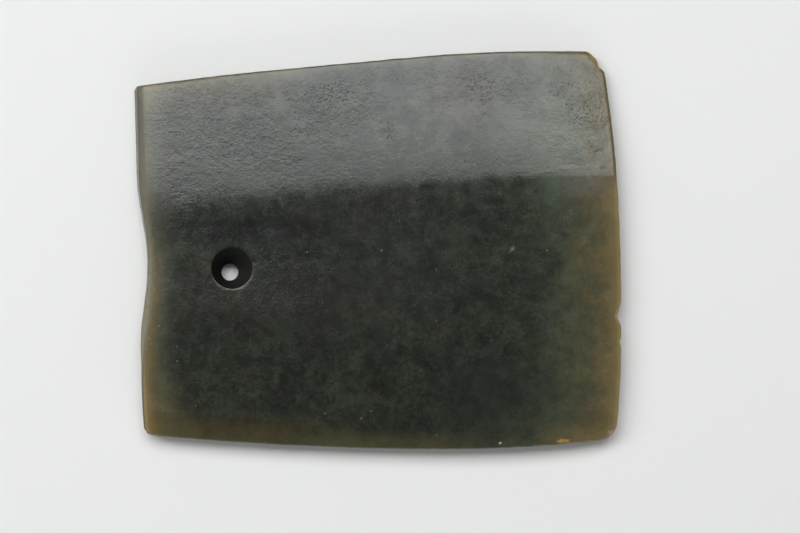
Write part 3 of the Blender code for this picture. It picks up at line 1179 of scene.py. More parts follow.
    def side_between(self, top: Array, bottom: Array) -> Array:
        """Rings of the narrow side: share t of the way down, standing proud by inset (1 - |2t - 1|^3).

        Args:
            top: Loop of the front's border.
            bottom: Loop of the back's border.

        Returns:
            Array of rings by points by 3.
        """
        share = (np.arange(self.side_rings) + 1.0) / (self.side_rings + 1.0)
        along = np.roll(top, -1, 0)[:, :2] - np.roll(top, 1, 0)[:, :2]
        out = np.stack((along[:, 1], -along[:, 0]), 1)
        out = out / np.maximum(np.linalg.norm(out, axis=1, keepdims=True), TINY)
        proud = self.side_inset * (1.0 - np.abs(2.0 * share - 1.0) ** 3)
        rings = top + (bottom - top) * share[:, None, None]
        rings[:, :, :2] += out * proud[:, None, None]
        return rings

    @staticmethod
    def around(index: Array) -> Array:
        """Numbers on the border of a grid of numbers, in order, anticlockwise."""
        return np.concatenate((index[0, :-1], index[:-1, -1], index[-1, :0:-1], index[:0:-1, 0]))

    @staticmethod
    def joined(loops: Array) -> Array:
        """Faces between loops of numbers that follow each other, each loop closed on itself.

        Args:
            loops: One loop of point numbers in each row, all of one length.

        Returns:
            The four numbers of each face.
        """
        following = np.roll(loops, -1, 1)
        quads = np.stack((loops[:-1], loops[1:], following[1:], following[:-1]), -1)
        return quads.reshape(-1, 4)

    def rind(self, y: Array, seat: tuple[Array, ...]) -> Array:
        """Pale weathered rind: all over the butt's bevel, less on the leaning side before it.

        Args:
            y: Places across the blade.
            seat: Distances from the four borders.

        Returns:
            How much it covers, from 0 to 1.
        """
        relief = self.relief
        steep = np.interp(y, relief.butt_places, relief.steep_widths)
        width = steep + np.interp(y, relief.butt_places, relief.bevel_widths)
        on_bevel = smooth_step(*self.rind_start, seat[0] - steep) * (1.0 - self.rind_on_side)
        on_bevel = on_bevel + self.rind_on_side
        on_bevel = on_bevel * (1.0 - smooth_step(*self.rind_end, seat[0] - width))
        return np.interp(y, self.bevel_places, self.bevel_rind) * on_bevel

    def dressed(self, side: Side, x: Array, y: Array, plan: Plan) -> dict[str, Array]:
        """Values of one face that its material reads.

        Args:
            side: Which face.
            x: Places along the blade, drawn in round the hole.
            y: Places across the blade, drawn in round the hole.
            plan: The grid's distances from the borders, and its scars.

        Returns:
            Light coming through, weathered rind, pitted surface and pocks, each by its name.
        """
        front, relief = side is Side.FRONT, self.relief
        bevel = np.interp(y, relief.butt_places, relief.steep_widths)
        bevel = bevel + np.interp(y, relief.butt_places, relief.bevel_widths)
        return {
            "glow": self.thin.at(x, y, plan, bevel),
            "rind": self.rind(y, plan.seat),
            "pitted": relief.pitting(x, y) if front else np.full(x.shape, self.back_pitted),
            "pocked": relief.pocking(x, y) if front else np.full(x.shape, self.back_pocked),
        }

    def values(
        self, looks: list[dict[str, Array]], border: Array, side_rings: int, wall_glow: Array
    ) -> dict[str, Array]:
        """Each value at all points: on both faces, down the narrow side and down the wall of the hole.

        Args:
            looks: The values of the front and of the back.
            border: Numbers of the points round the border of a face.
            side_rings: Rings of points down the narrow side.
            wall_glow: Light that comes through at each point of the wall.

        Returns:
            The values, by name. Down the side the front's border goes on, apart from its pits.
        """
        on_side, on_wall = np.ones(side_rings * len(border)), np.ones(wall_glow.size)
        front, back = looks
        down_side = {name: np.tile(value.ravel()[border], side_rings) for name, value in front.items()}
        down_side |= {"pitted": self.side_pitted * on_side, "pocked": self.side_pocked * on_side}
        down_wall = {
            "glow": wall_glow.ravel(),
            "rind": 0.0 * on_wall,
            "pitted": self.wall_pitted * on_wall,
            "pocked": 0.0 * on_wall,
        }
        return {
            name: np.concatenate((front[name].ravel(), back[name].ravel(), down_side[name], down_wall[name]))
            for name in front
        }

    def skin(self) -> Skin:
        """Join the two faces, the narrow side and the wall of the hole into one closed surface.

        Returns:
            The surface. Its second finish is the wall, under the first band of faces at the mouth.
        """
        hole, plan = self.hole, self.plan()
        step_x, step_y = hole.steps(plan.x, plan.y)
        mouths = (
            (Side.FRONT, hole.mouth, hole.mouth_radius + hole.rim_wear),
            (Side.BACK, hole.end, hole.end_radius + hole.end_wear),
        )
        sheets, looks = [], []
        for side, centre, radius in mouths:
            x, y = hole.draw_in(plan.x, plan.y, step_x, step_y, centre, radius)
            sheets.append(np.stack((x, y, self.face(side, x, y, plan)), -1).reshape(-1, 3))
            looks.append(self.dressed(side, x, y, plan))
        points, back = np.concatenate(sheets), plan.x.size
        number = np.arange(back).reshape(plan.x.shape)
        quads = np.stack((number[:-1, :-1], number[:-1, 1:], number[1:, 1:], number[1:, :-1]), -1)
        beside = np.maximum(np.abs(step_x[:-1, :-1] + 0.5), np.abs(step_y[:-1, :-1] + 0.5))
        front_faces = quads[beside > hole.block]
        in_block = np.abs(step_y[:, 0]) <= hole.block, np.abs(step_x[0]) <= hole.block
        border, mouth = self.around(number), self.around(number[np.ix_(*in_block)])
        bands = []
        for loop, make in ((border, self.side_between), (mouth, hole.wall)):
            rings = make(points[loop], points[loop + back])
            between = len(points) + np.arange(rings.size // 3).reshape(rings.shape[:2])
            bands.append(np.concatenate((loop[None], between, loop[None] + back)))
            points = np.concatenate((points, rings.reshape(-1, 3)))
        side_faces, wall_faces = self.joined(bands[0]), self.joined(bands[1])[:, ::-1]
        faces = np.concatenate((front_faces, front_faces[:, ::-1] + back, side_faces, wall_faces))
        finishes = np.zeros(len(faces), np.int32)
        finishes[len(mouth) - len(wall_faces) :] = 1
        values = self.values(looks, border, self.side_rings, hole.thin_rim(points[mouth]))
        return Skin(points, faces, finishes, values)

    def build(self) -> bpy.types.Object:
        """Make the blade, in metres, with its values glow, rind, pitted and pocked at each point."""
        return self.skin().piece("nephrite_blade")


Socket = bpy.types.NodeSocket
Triple = tuple[float, float, float]
Colour = tuple[float, float, float]
Stops = tuple[tuple[float, Colour], ...]
BLACK: Colour = (0.0, 0.0, 0.0)
WHITE: Colour = (1.0, 1.0, 1.0)
COOL: Colour = (0.972, 1.0, 0.995)


class Mapping(Enum):
    """Whether places are moved, or a move of them is undone."""

    MOVE = "POINT"
    UNDO = "TEXTURE"


class Laying(Enum):
    """How one colour is laid over another."""

    COVER = "MIX"
    ADD = "ADD"


class Bench:
    """One material's node tree, with short ways to lay nodes out in it.

    Places are in millimetres of the blade: Object coordinates times 1000. Spots are drawn on shaken
    places, in a flat box round the level of the front.
    """

    front_level: ClassVar[float] = 8.5
    front_reach: ClassVar[float] = 4.0

    def __init__(self, name: str) -> None:
        """Start a material with its shader and its places.

        Args:
            name: The material's name.
        """
        self.material = bpy.data.materials.new(name)
        self.material.use_nodes = True
        self.tree = self.material.node_tree
        self.shader = self.tree.nodes["Principled BSDF"]
        coordinates = self.tree.nodes.new("ShaderNodeTexCoord")
        self.place = self.mapped(coordinates.outputs["Object"], scale=(1.0 / MM,) * 3)
        self.shaken = self.place

    def fill(self, socket: Socket, value: "Socket | float | tuple") -> None:
        """Link a socket to another one, or give it a constant.

        Args:
            socket: The socket to fill.
            value: Another node's socket, or the constant.
        """
        if isinstance(value, bpy.types.NodeSocket):
            self.tree.links.new(value, socket)
        else:
            socket.default_value = value

    def mapped(
        self,
        place: Socket,
        shift: Triple = (0.0, 0.0, 0.0),
        turn: float = 0.0,
        scale: Triple = (1.0, 1.0, 1.0),
        mapping: Mapping = Mapping.MOVE,
    ) -> Socket:
        """Scale places, turn them about Z and shift them, or undo that.

        Args:
            place: The places.
            shift: How far they are shifted.
            turn: How far they are turned, in degrees.
            scale: Factors along X, Y and Z.
            mapping: Whether it is done or undone.

        Returns:
            The moved places.
        """
        node = self.tree.nodes.new("ShaderNodeMapping")
        node.vector_type = mapping.value
        self.fill(node.inputs["Vector"], place)
        node.inputs["Location"].default_value = shift
        node.inputs["Rotation"].default_value = (0.0, 0.0, math.radians(turn))
        node.inputs["Scale"].default_value = scale
        return node.outputs["Vector"]

    def math(self, operation: str, *values: "Socket | float") -> Socket:
        """One Math node.

        Args:
            operation: What it does with the values.
            values: Sockets or constants.

        Returns:
            Its result.
        """
        node = self.tree.nodes.new("ShaderNodeMath")
        node.operation = operation
        for socket, value in zip(node.inputs, values):
            self.fill(socket, value)
        return node.outputs["Value"]

    def total(self, *values: "Socket | float") -> Socket:
        """Sum of several values.

        Args:
            values: Sockets or constants.

        Returns:
            The sum.
        """
        result = values[0]
        for value in values[1:]:
            result = self.math("ADD", result, value)
        return result

    def times(self, *values: "Socket | float") -> Socket:
        """Product of several values.

        Args:
            values: Sockets or constants.

        Returns:
            The product.
        """
        result = values[0]
        for value in values[1:]:
            result = self.math("MULTIPLY", result, value)
        return result

    def fade(
        self, value: Socket, start: float, end: float, low: float = 0.0, high: float = 1.0
    ) -> Socket:
        """Go smoothly from low to high while the value goes from start to end.

        Args:
            value: The value.
            start: Where the change starts.
            end: Where it ends.
            low: Result before it.
            high: Result after it.

        Returns:
            The result.
        """
        node = self.tree.nodes.new("ShaderNodeMapRange")
        node.interpolation_type = "SMOOTHSTEP"
        self.fill(node.inputs["Value"], value)
        for name, number in (("From Min", start), ("From Max", end), ("To Min", low), ("To Max", high)):
            node.inputs[name].default_value = number
        return node.outputs["Result"]

    def noise(
        self,
        scale: float,
        seed: float,
        detail: float = 3.0,
        roughness: float = 0.55,
        distortion: float = 0.0,
        stretch: Triple = (1.0, 1.0, 1.0),
        turn: float = 0.0,
    ) -> Socket:
        """Fractal noise, from about 0.25 to 0.75 round 0.5.

        Args:
            scale: Waves per millimetre.
            seed: Moves the pattern to another part of the noise.
            detail: Octaves.
            roughness: Strength of each octave against the one before.
            distortion: How much it is warped.
            stretch: Factors on the scale along X, Y and Z, after the turn.
            turn: Turn about Z, in degrees.

        Returns:
            The noise's value.
        """
        node = self.tree.nodes.new("ShaderNodeTexNoise")
        place = self.mapped(self.place, (0.0, 0.0, 0.0), turn)
        place = self.mapped(place, (seed * 13.7, seed * 7.3, seed * 3.1), 0.0, stretch)
        self.fill(node.inputs["Vector"], place)
        node.inputs["Scale"].default_value = scale
        node.inputs["Detail"].default_value = detail
        node.inputs["Roughness"].default_value = roughness
        node.inputs["Distortion"].default_value = distortion
        return node.outputs["Fac"]

    def cells(self, scale: float, seed: float) -> tuple[Socket, Socket, Socket]:
        """Scattered points in plan.

        Args:
            scale: Cells per millimetre.
            seed: Moves the pattern to other points.

        Returns:
            The distance to the nearest point, in cells, and two random values of that point.
        """
        node = self.tree.nodes.new("ShaderNodeTexVoronoi")
        node.voronoi_dimensions = "2D"
        self.fill(node.inputs["Vector"], self.mapped(self.shaken, (seed * 11.0, seed * 5.0, 0.0)))
        node.inputs["Scale"].default_value = scale
        split = self.tree.nodes.new("ShaderNodeSeparateColor")
        self.fill(split.inputs["Color"], node.outputs["Color"])
        return node.outputs["Distance"], split.outputs["Red"], split.outputs["Green"]

    def attribute(self, name: str) -> Socket:
        """One of the piece's own values.

        Args:
            name: Its name.

        Returns:
            The value.
        """
        node = self.tree.nodes.new("ShaderNodeAttribute")
        node.attribute_name = name
        return node.outputs["Fac"]

    def ramp(self, value: Socket, stops: Stops) -> Socket:
        """Colour at a value, from stops of (value, colour).

        Args:
            value: The value.
            stops: The stops, in rising order.

        Returns:
            The colour.
        """
        node = self.tree.nodes.new("ShaderNodeValToRGB")
        self.fill(node.inputs["Fac"], value)
        elements = node.color_ramp.elements
        while len(elements) < len(stops):
            elements.new(0.5)
        for element, (position, colour) in zip(elements, stops):
            element.position = position
            element.color = (*colour, 1.0)
        return node.outputs["Color"]

    def blend(self, share: "Socket | float", first: "Socket | Colour", second: "Socket | Colour") -> Socket:
        """Go from the first colour to the second."""
        return self.mixed(Laying.COVER, share, first, second)

    def mixed(
        self, laying: Laying, share: "Socket | float", first: "Socket | Colour", second: "Socket | Colour"
    ) -> Socket:
        """Lay the second colour over the first.

        Args:
            laying: Whether it covers the first one or is added to it.
            share: How strongly.
            first: The colour under it.
            second: The colour laid over it.

        Returns:
            The colour of both.
        """
        node = self.tree.nodes.new("ShaderNodeMix")
        node.data_type = "RGBA"
        node.blend_type = laying.value
        self.fill(node.inputs[0], share)
        for socket, value in ((node.inputs[6], first), (node.inputs[7], second)):
            self.fill(socket, (*value, 1.0) if isinstance(value, tuple) else value)
        return node.outputs[2]

    def spot(
        self, x: float, y: float, half_x: float, half_y: float, turn: float = 0.0, soft: float = 0.5
    ) -> Socket:
        """Oval spot on the front.

        Args:
            x: Its middle along the blade.
            y: Its middle across the blade.
            half_x: Its half-length.
            half_y: Its half-width.
            turn: Turn from the blade's length, in degrees.
            soft: Width of its border, as a share of its size.

        Returns:
            1 inside it and 0 outside.
        """
        middle, halves = (x, y, self.front_level), (half_x, half_y, self.front_reach)
        oval = self.mapped(self.shaken, middle, turn, halves, Mapping.UNDO)
        node = self.tree.nodes.new("ShaderNodeVectorMath")
        node.operation = "LENGTH"
        self.fill(node.inputs[0], oval)
        return self.fade(node.outputs["Value"], 1.0 + soft * 0.5, 1.0 - soft * 0.5)

    def shake(self, scale: float, amount: float) -> None:
        """Shake places by noise, so that the spots drawn on them have uneven borders.

        Args:
            scale: Waves of the noise per millimetre.
            amount: How far places are shaken at most, in millimetres.
        """
        noise = self.tree.nodes.new("ShaderNodeTexNoise")
        self.fill(noise.inputs["Vector"], self.place)
        noise.inputs["Scale"].default_value = scale
        noise.inputs["Detail"].default_value = 3.0
        centred = self.tree.nodes.new("ShaderNodeVectorMath")
        centred.operation = "MULTIPLY_ADD"
        self.fill(centred.inputs[0], noise.outputs["Color"])
        centred.inputs[1].default_value = (2.0 * amount,) * 3
        centred.inputs[2].default_value = (-amount,) * 3
        moved = self.tree.nodes.new("ShaderNodeVectorMath")
        moved.operation = "ADD"
        self.fill(moved.inputs[0], self.place)
        self.fill(moved.inputs[1], centred.outputs["Vector"])
        self.shaken = moved.outputs["Vector"]


@dataclass(frozen=True)
class Blot:
    """A patch of another colour in the stone or on it, or of painted light or shade where a comment at it
    says so.

    Attributes:
        x: Middle along the blade.
        y: Middle across the blade.
        half_x: Half-length.
        half_y: Half-width.
        turn: Turn from the blade's length, in degrees.
        soft: Width of its border, as a share of its size.
        share: How strongly it covers the stone.
        colour: Its colour.
    """

    x: float
    y: float
    half_x: float
    half_y: float
    turn: float
    soft: float
    share: float
    colour: Colour


@dataclass(frozen=True)
class Nephrite:
    """Dark green polished nephrite that lets light through where it is thin.

    Attributes:
        black_green: Colour of the darkest clouds, and of the painted shade in the pits and the pocks.
        deep_green: Colour of most of the stone.
        grey_green: Colour of the palest clouds.
        umber: Colour of the brown clouds.
        blue_green: Colour of the cool clouds.
        levels: Where the three greens stand in the noise of the clouds.
        clouds: Strength of the large clouds.
        mottle: Strength of the mottling in them.
        crumbs: Strength of the finest mottling.
        base_level: What is added to the three, to bring them to the greens' levels.
        thin: Colour that shows through at each amount of light.
        chalk: Colour of the small specks.
        dark_rind: Colour of the thinnest rind.
        pale_rind: Colour of the full rind.
        under: How many of the blots are laid under the painted glow and the rind; the rest are laid over
            them.
        roughness: Roughness of the polish.
        refraction: Refractive index.
        fine_height: Height of the fine grain where it is pitted full, and everywhere, in millimetres.
        coarse_height: Height of the coarse grain where it is pitted full.
        pock_depth: Depth of a pock.
        scratch_depth: Depth of a scratch.
        blots: The patches of another colour, in the order in which they are laid.
    """

    black_green: Colour = (0.0028, 0.0036, 0.0024)
    deep_green: Colour = (0.0088, 0.0114, 0.0058)
    grey_green: Colour = (0.0215, 0.0245, 0.0135)
    umber: Colour = (0.0210, 0.0175, 0.0105)
    blue_green: Colour = (0.0085, 0.0170, 0.0115)
    levels: Triple = (0.72, 0.833, 0.95)
    clouds: float = 0.70
    mottle: float = 0.70
    crumbs: float = 0.58
    base_level: float = -0.15
    thin: Stops = (
        (0.0, BLACK),
        (0.04, (0.002, 0.003, 0.002)),
        (0.084, (0.009, 0.012, 0.007)),
        (0.194, (0.033, 0.035, 0.018)),
        (0.454, (0.075, 0.057, 0.024)),
        (0.80, (0.140, 0.102, 0.040)),
        (1.0, (0.270, 0.190, 0.075)),
    )
    chalk: Colour = (0.42, 0.40, 0.34)
    dark_rind: Colour = (0.082, 0.076, 0.050)
    pale_rind: Colour = (0.215, 0.195, 0.132)
    under: int = 17
    roughness: float = 0.175
    refraction: float = 1.57
    fine_height: tuple[float, float] = (0.060, 0.0075)
    coarse_height: float = 0.145
    pock_depth: float = 0.02
    scratch_depth: float = 0.001
    blots: tuple[Blot, ...] = (
        # Painted sheen: paler brownish grey where the rougher stone below the arris catches light.
        Blot(-36.0, -16.0, 46.0, 9.0, -2.0, 1.2, 0.22, (0.034, 0.031, 0.020)),
        # Painted shade: the dark band where the face dips in a shallow groove before the arris.
        Blot(-43.0, 6.8, 29.0, 4.0, -0.5, 1.3, 0.85, (0.004, 0.005, 0.004)),
        Blot(39.0, -50.0, 19.0, 14.0, 0.0, 1.4, 0.55, (0.004, 0.005, 0.004)),
        Blot(-13.0, 13.5, 25.0, 8.0, 2.0, 1.4, 0.55, (0.008, 0.009, 0.008)),
        Blot(-25.0, -15.0, 18.0, 16.0, 0.0, 1.4, 0.50, (0.008, 0.009, 0.008)),
        # Painted sheen: a faint grey haze over the middle of the dark face.
        Blot(6.0, -4.0, 20.0, 24.0, 0.0, 1.4, 0.28, (0.026, 0.027, 0.024)),
        Blot(58.8, 20.5, 3.4, 6.5, 0.0, 1.3, 0.50, (0.030, 0.056, 0.038)),
        Blot(-77.0, 57.0, 7.0, 9.0, 20.0, 1.4, 0.80, (0.120, 0.105, 0.060)),
        # Painted glow: warm brown along the -Y border, where light comes through the thinner stone.
        Blot(-50.0, -62.5, 36.0, 5.6, -2.0, 1.6, 0.75, (0.042, 0.029, 0.008)),
        Blot(0.0, -66.0, 32.0, 3.8, 0.0, 1.5, 0.75, (0.042, 0.033, 0.012)),
        # Painted glow: amber at both ends of the -Y border, where light comes through thin stone.
        Blot(65.0, -62.0, 9.0, 3.0, 0.0, 1.5, 0.30, (0.105, 0.080, 0.038)),
        Blot(-74.0, -54.0, 9.0, 11.0, 0.0, 1.5, 0.40, (0.066, 0.046, 0.014)),
        # Painted sheen: pale grey along the upper butt, where its rounded face catches light.
        Blot(-74.0, 30.0, 4.0, 24.0, 2.0, 1.4, 0.45, (0.040, 0.036, 0.024)),
        Blot(54.0, 40.0, 15.0, 11.0, 30.0, 1.5, 0.75, (0.046, 0.058, 0.038)),
        Blot(30.0, 55.0, 14.0, 10.0, 0.0, 1.5, 0.40, (0.050, 0.041, 0.030)),
        # Painted glow: browner along the lower butt, under the glow of thin stone there.
        Blot(-76.5, -24.0, 5.5, 40.0, 2.0, 1.5, 0.65, (0.022, 0.015, 0.003)),
        Blot(-56.0, 56.5, 26.0, 6.0, 5.4, 1.5, 0.75, (0.044, 0.029, 0.007)),
        Blot(69.5, 22.4, 9.5, 4.4, 0.0, 1.5, 0.33, (0.150, 0.135, 0.118)),
        # Painted glow: olive gold over the broken corner's scar, where light comes through thin stone.
        Blot(70.2, 65.2, 5.6, 2.2, -21.0, 1.2, 0.62, (0.135, 0.105, 0.045)),
        Blot(72.9, 63.7, 1.3, 0.8, -30.0, 1.2, 0.60, (0.260, 0.185, 0.055)),
        Blot(70.5, 28.3, 9.0, 0.60, 0.0, 1.4, 0.26, (0.150, 0.115, 0.070)),
        Blot(56.7, 26.6, 7.0, 0.50, 10.2, 1.1, 0.34, (0.150, 0.115, 0.070)),
        Blot(69.0, 27.2, 10.5, 0.18, 1.0, 0.8, 0.60, (0.010, 0.009, 0.007)),
        Blot(59.2, 26.0, 3.8, 0.22, 10.0, 0.9, 0.42, (0.010, 0.009, 0.007)),
        Blot(76.4, 27.9, 1.4, 0.30, 4.0, 0.9, 0.90, (0.008, 0.007, 0.006)),
        Blot(75.6, 33.9, 0.9, 0.35, 10.0, 0.8, 0.90, (0.008, 0.007, 0.006)),
        Blot(45.6, 0.2, 0.90, 0.50, 55.0, 1.8, 0.42, (0.340, 0.330, 0.290)),
        Blot(41.5, -65.2, 0.42, 0.34, 0.0, 0.8, 0.75, (0.500, 0.480, 0.440)),
        Blot(-2.0, -54.4, 0.5, 0.35, 0.0, 0.8, 0.80, (0.160, 0.070, 0.025)),
        Blot(-5.4, -56.8, 0.6, 0.30, 20.0, 0.8, 0.70, (0.140, 0.065, 0.025)),
        Blot(63.1, -64.6, 2.0, 0.65, 2.0, 0.9, 0.75, (0.500, 0.300, 0.085)),
    )

    def stone(self, bench: Bench, mottle: Socket) -> Socket:
        """Colour of the stone: clouds of greens and browns, and the blots laid under the painted glow, among
        them painted sheen, painted shade and painted glow.

        Args:
            bench: Where the nodes are laid out.
            mottle: The stone's mottling, which the blots share.

        Returns:
            The colour.
        """
        clouds = bench.noise(0.085, 1.0, 8.0, 0.66, 0.5)
        crumbs = bench.noise(0.85, 16.0, 4.0, 0.72)
        depth = bench.math("MULTIPLY_ADD", clouds, self.clouds, self.base_level)
        depth = bench.math("MULTIPLY_ADD", mottle, self.mottle, depth)
        depth = bench.math("MULTIPLY_ADD", crumbs, self.crumbs, depth)
        greens = (self.black_green, self.deep_green, self.grey_green)
        base = bench.ramp(depth, tuple(zip(self.levels, greens)))
        brown = bench.fade(bench.noise(0.19, 3.0, 7.0, 0.70, 0.2), 0.50, 0.66, 0.0, 0.38)
        base = bench.blend(brown, base, self.umber)
        cool = bench.fade(bench.noise(0.15, 4.0, 7.0, 0.68, 0.2), 0.52, 0.64, 0.0, 0.42)
        base = bench.blend(cool, base, self.blue_green)
        for blot in self.blots[: self.under]:
            base = bench.blend(self.laid(bench, blot, mottle), base, blot.colour)
        return base

    def shining(self, bench: Bench) -> Socket:
        """Colour that shows through thin stone: uneven where little light comes, even where much does.

        Args:
            bench: Where the nodes are laid out.

        Returns:
            The colour to add to the stone's.
        """
        glow = bench.attribute("glow")
        uneven = bench.fade(bench.noise(0.14, 5.0, 7.0, 0.70, 0.2), 0.32, 0.68, 0.62, 1.3)
        even = bench.fade(glow, 0.40, 0.85)
        levelled = bench.math("MULTIPLY_ADD", bench.math("SUBTRACT", 1.0, uneven), even, uneven)
        return bench.ramp(bench.times(glow, levelled), self.thin)

    def colour(self, bench: Bench) -> Socket:
        """Colour of the piece: the stone, the painted glow of light in it, its rind, the blots laid over
        them, among them painted glow, and its specks.

        Args:
            bench: Where the nodes are laid out.

        Returns:
            The colour.
        """
        mottle = bench.noise(0.33, 2.0, 8.0, 0.78, 0.1)
        lit = bench.mixed(Laying.ADD, 1.0, self.stone(bench, mottle), self.shining(bench))
        rind = bench.times(bench.attribute("rind"), bench.fade(mottle, 0.3, 0.6, 0.9, 1.1))
        weathered = bench.ramp(rind, ((0.45, self.dark_rind), (1.0, self.pale_rind)))
        lit = bench.blend(bench.fade(rind, 0.0, 0.45, 0.0, 0.88), lit, weathered)
        for blot in self.blots[self.under :]:
            lit = bench.blend(self.laid(bench, blot, mottle), lit, blot.colour)
        away, chance, strength = bench.cells(0.16, 1.0)
        speck = bench.math("LESS_THAN", away, bench.fade(chance, 0.86, 1.0, 0.0, 0.05))
        return bench.blend(bench.times(speck, strength, 0.35), lit, self.chalk)

    @staticmethod
    def laid(bench: Bench, blot: Blot, mottle: Socket) -> Socket:
        """How much a blot covers: its oval, more where the stone is mottled."""
        oval = bench.spot(blot.x, blot.y, blot.half_x, blot.half_y, blot.turn, blot.soft)
        return bench.times(oval, bench.fade(mottle, 0.30, 0.60, 0.6, 1.2), blot.share)

    def material(self) -> bpy.types.Material:
        """Lay out the stone's colour, gloss and fine relief.

        Returns:
            The material.
        """
        bench = Bench("nephrite")
        bench.shake(0.9, 0.5)
        shader = bench.shader
        pitted, pocked = bench.attribute("pitted"), bench.attribute("pocked")
        coarse = bench.noise(0.55, 9.0, 3.0, 0.74, 0.0, (0.92, 1.0, 1.0))
        fine = bench.noise(1.45, 6.0, 2.0, 0.64, 0.0, (0.88, 1.0, 1.0))
        peck = bench.math("MULTIPLY_ADD", fine, 0.5, bench.times(coarse, 0.5))
        pit_level = bench.fade(pitted, 0.0, 1.0, 0.62, 0.45)
        pit = bench.fade(bench.math("SUBTRACT", peck, pit_level), 0.0, 0.20)
        pock_level = bench.fade(pocked, 0.0, 1.0, 0.80, 0.555)
        pock_noise = bench.noise(1.5, 12.0, 2.0, 0.60)
        pock = bench.fade(bench.math("SUBTRACT", pock_noise, pock_level), 0.0, 0.07)
        # Painted shade: pits and pocks are darkened towards black green, standing in for the shade and the
        # lost sheen in these hollows.
        dark = bench.math("MAXIMUM", bench.times(pit, 0.16), bench.times(pock, 0.7))
        bench.fill(shader.inputs["Base Color"], bench.blend(dark, self.colour(bench), self.black_green))
        along = bench.noise(1.0, 7.0, 2.0, 0.5, 0.0, (0.035, 2.2, 1.0), 4.0)
        aslant = bench.noise(1.0, 8.0, 2.0, 0.5, 0.0, (0.06, 2.6, 1.0), -31.0)
        scratches = bench.fade(along, 0.62, 0.76), bench.fade(aslant, 0.64, 0.78)
        gloss = bench.total(
            bench.times(pitted, 0.04),
            bench.times(pit, 0.08),
            bench.times(pock, 0.24),
            bench.fade(fine, 0.3, 0.7, -0.03, 0.04),
            bench.fade(bench.noise(0.17, 14.0, 6.0, 0.68), 0.33, 0.67, -0.03, 0.07),
            bench.times(bench.math("MAXIMUM", *scratches), 0.03),
            bench.times(bench.attribute("rind"), 0.5),
            self.roughness,
        )
        bench.fill(shader.inputs["Roughness"], gloss)
        shader.inputs["IOR"].default_value = self.refraction
        height = bench.total(
            bench.times(
                bench.math("SUBTRACT", fine, 0.5), bench.math("MULTIPLY_ADD", pitted, *self.fine_height)
            ),
            bench.times(bench.math("SUBTRACT", coarse, 0.5), pitted, self.coarse_height),
            bench.times(pock, -self.pock_depth),
            *(bench.times(scratch, -self.scratch_depth) for scratch in scratches),
        )
        bump = bench.tree.nodes.new("ShaderNodeBump")
        bump.inputs["Distance"].default_value = MM
        bump.inputs["Strength"].default_value = 1.0
        bench.fill(bump.inputs["Height"], height)
        bench.fill(shader.inputs["Normal"], bump.outputs["Normal"])
        return bench.material


@dataclass(frozen=True)
class DrilledStone:
    """Wall of the drilled hole, dull: a nearly black painted shade for the dark inside of the hole, and a
    warmer painted glow where the stone is thin.
    """

    painted_shade: Colour = (0.001, 0.0014, 0.0022)
    thin: Colour = (0.019, 0.017, 0.0145)
    roughness: float = 0.8
    gloss: float = 0.24

    def material(self) -> bpy.types.Material:
        """Lay out the wall's colour and gloss.

        Returns:
            The material.
        """
        bench = Bench("drilled_nephrite")
        inputs = bench.shader.inputs
        bench.fill(inputs["Base Color"], bench.blend(bench.attribute("glow"), self.painted_shade, self.thin))
        inputs["Roughness"].default_value = self.roughness
        inputs["Specular IOR Level"].default_value = self.gloss
        return bench.material


@dataclass(frozen=True)
class Softbox:
    """A soft panel of light.

    Attributes:
        name: Its name.
        over: The place of its middle in plan.
        height: Its height over the floor.
        size: Its size along X and across.
        radiance: Brightness of its surface, where a white floor in full light is about 1.
        tint: Its colour.
        aimed: Whether it faces the blade; otherwise it faces straight down.
    """

    name: str
    over: tuple[float, float]
    height: float
    size: tuple[float, float]
    radiance: float
    tint: Colour = WHITE
    aimed: bool = False

    def hang(self) -> None:
        """Add the panel: an area light gives radiance P / 4A, so its power is 4 A times that."""
        light = bpy.data.lights.new(self.name, "AREA")
        light.shape = "RECTANGLE"
        light.size, light.size_y = self.size
        light.energy = 4.0 * self.size[0] * self.size[1] * self.radiance
        light.color = self.tint
        panel = bpy.data.objects.new(self.name, light)
        panel.location = (*self.over, self.height)
        if self.aimed:
            panel.rotation_euler = (-panel.location).to_track_quat("-Z", "Y").to_euler()
        bpy.context.scene.collection.objects.link(panel)


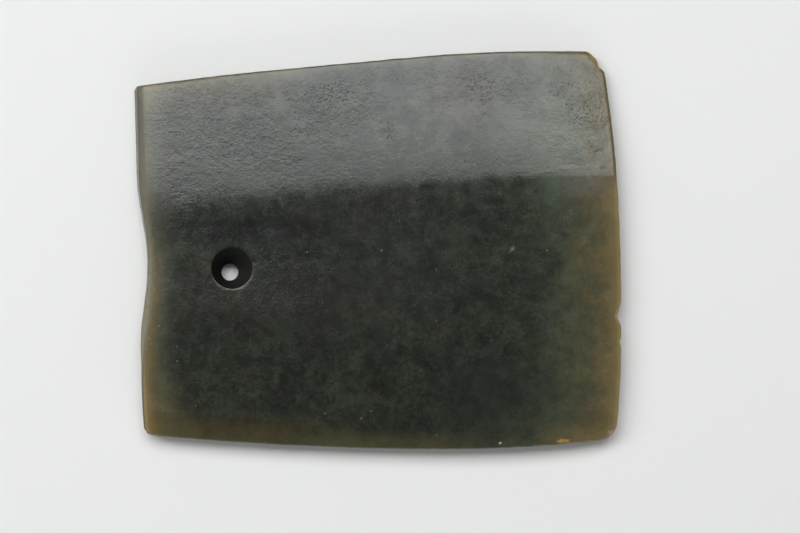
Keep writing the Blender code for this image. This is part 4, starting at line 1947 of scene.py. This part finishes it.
@dataclass(frozen=True)
class Studio:
    """Pale floor, soft panels and a camera straight above the blade."""

    panels: tuple[Softbox, ...] = (
        Softbox("key_panel", (-1.40, 1.17), 2.1, (4.0, 1.46), 3.55, COOL),
        Softbox("key_end", (0.85, 0.75), 2.1, (0.5, 0.62), 3.55, COOL),
        Softbox("key_wing", (-0.75, 0.17), 2.1, (0.7, 0.55), 0.45, COOL),
        Softbox("butt_panel", (-1.86, 0.10), 1.2, (0.90, 1.35), 0.6),
        Softbox("low_panel", (0.20, -2.30), 0.75, (5.0, 0.8), 1.3, aimed=True),
    )
    floor_colour: Colour = (0.850, 0.844, 0.840)
    floor_half: float = 4.0
    floor_gap: float = 0.00005
    dark_room: float = 0.18
    lens: float = 120.0
    clip: tuple[float, float] = (0.05, 20.0)
    camera_place: Triple = (0.00774, -0.00564, 0.9091)

    def lay_floor(self) -> None:
        """Add the floor just under the blade.

        It is matt, so that it mirrors nothing of the panels.
        """
        half, low = self.floor_half, -self.floor_gap
        mesh = bpy.data.meshes.new("floor")
        corners = [(-half, -half, low), (half, -half, low), (half, half, low), (-half, half, low)]
        mesh.from_pydata(corners, [], [(0, 1, 2, 3)])
        material = bpy.data.materials.new("pale_floor")
        material.use_nodes = True
        shader = material.node_tree.nodes["Principled BSDF"]
        shader.inputs["Base Color"].default_value = (*self.floor_colour, 1.0)
        shader.inputs["Roughness"].default_value = 1.0
        shader.inputs["Specular IOR Level"].default_value = 0.0
        mesh.materials.append(material)
        floor = bpy.data.objects.new("floor", mesh)
        bpy.context.scene.collection.objects.link(floor)

    def darken_room(self) -> None:
        """Give the scene a dim, even surrounding light."""
        world = bpy.data.worlds.new("dark_room")
        world.use_nodes = True
        background = world.node_tree.nodes["Background"]
        background.inputs["Color"].default_value = (*WHITE, 1.0)
        background.inputs["Strength"].default_value = self.dark_room
        bpy.context.scene.world = world

    def place_camera(self) -> None:
        """Place the camera above the blade, looking straight down."""
        lens = bpy.data.cameras.new("camera_above")
        lens.lens = self.lens
        lens.clip_start, lens.clip_end = self.clip
        camera = bpy.data.objects.new("camera_above", lens)
        camera.location = self.camera_place
        bpy.context.scene.collection.objects.link(camera)
        bpy.context.scene.camera = camera

    def set_up(self) -> None:
        """Lay the floor, hang the panels, darken the room and place the camera."""
        self.lay_floor()
        for panel in self.panels:
            panel.hang()
        self.darken_room()
        self.place_camera()
        bpy.context.scene.view_settings.view_transform = "Standard"


def write_sizes() -> None:
    """Update the view layer."""
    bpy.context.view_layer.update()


def main() -> None:
    """Build the blade, dress it and set up the studio."""
    logging.basicConfig(level=logging.INFO, format="%(name)s: %(message)s")
    blade = Blade().build()
    for finish in (Nephrite(), DrilledStone()):
        blade.data.materials.append(finish.material())
    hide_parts(NODE)
    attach(blade, "root")
    LOG.info("%s replaces %s", blade.name, NODE)
    Studio().set_up()
    bpy.context.view_layer.update()
    write_sizes()


if __name__ == "__main__":
    main()
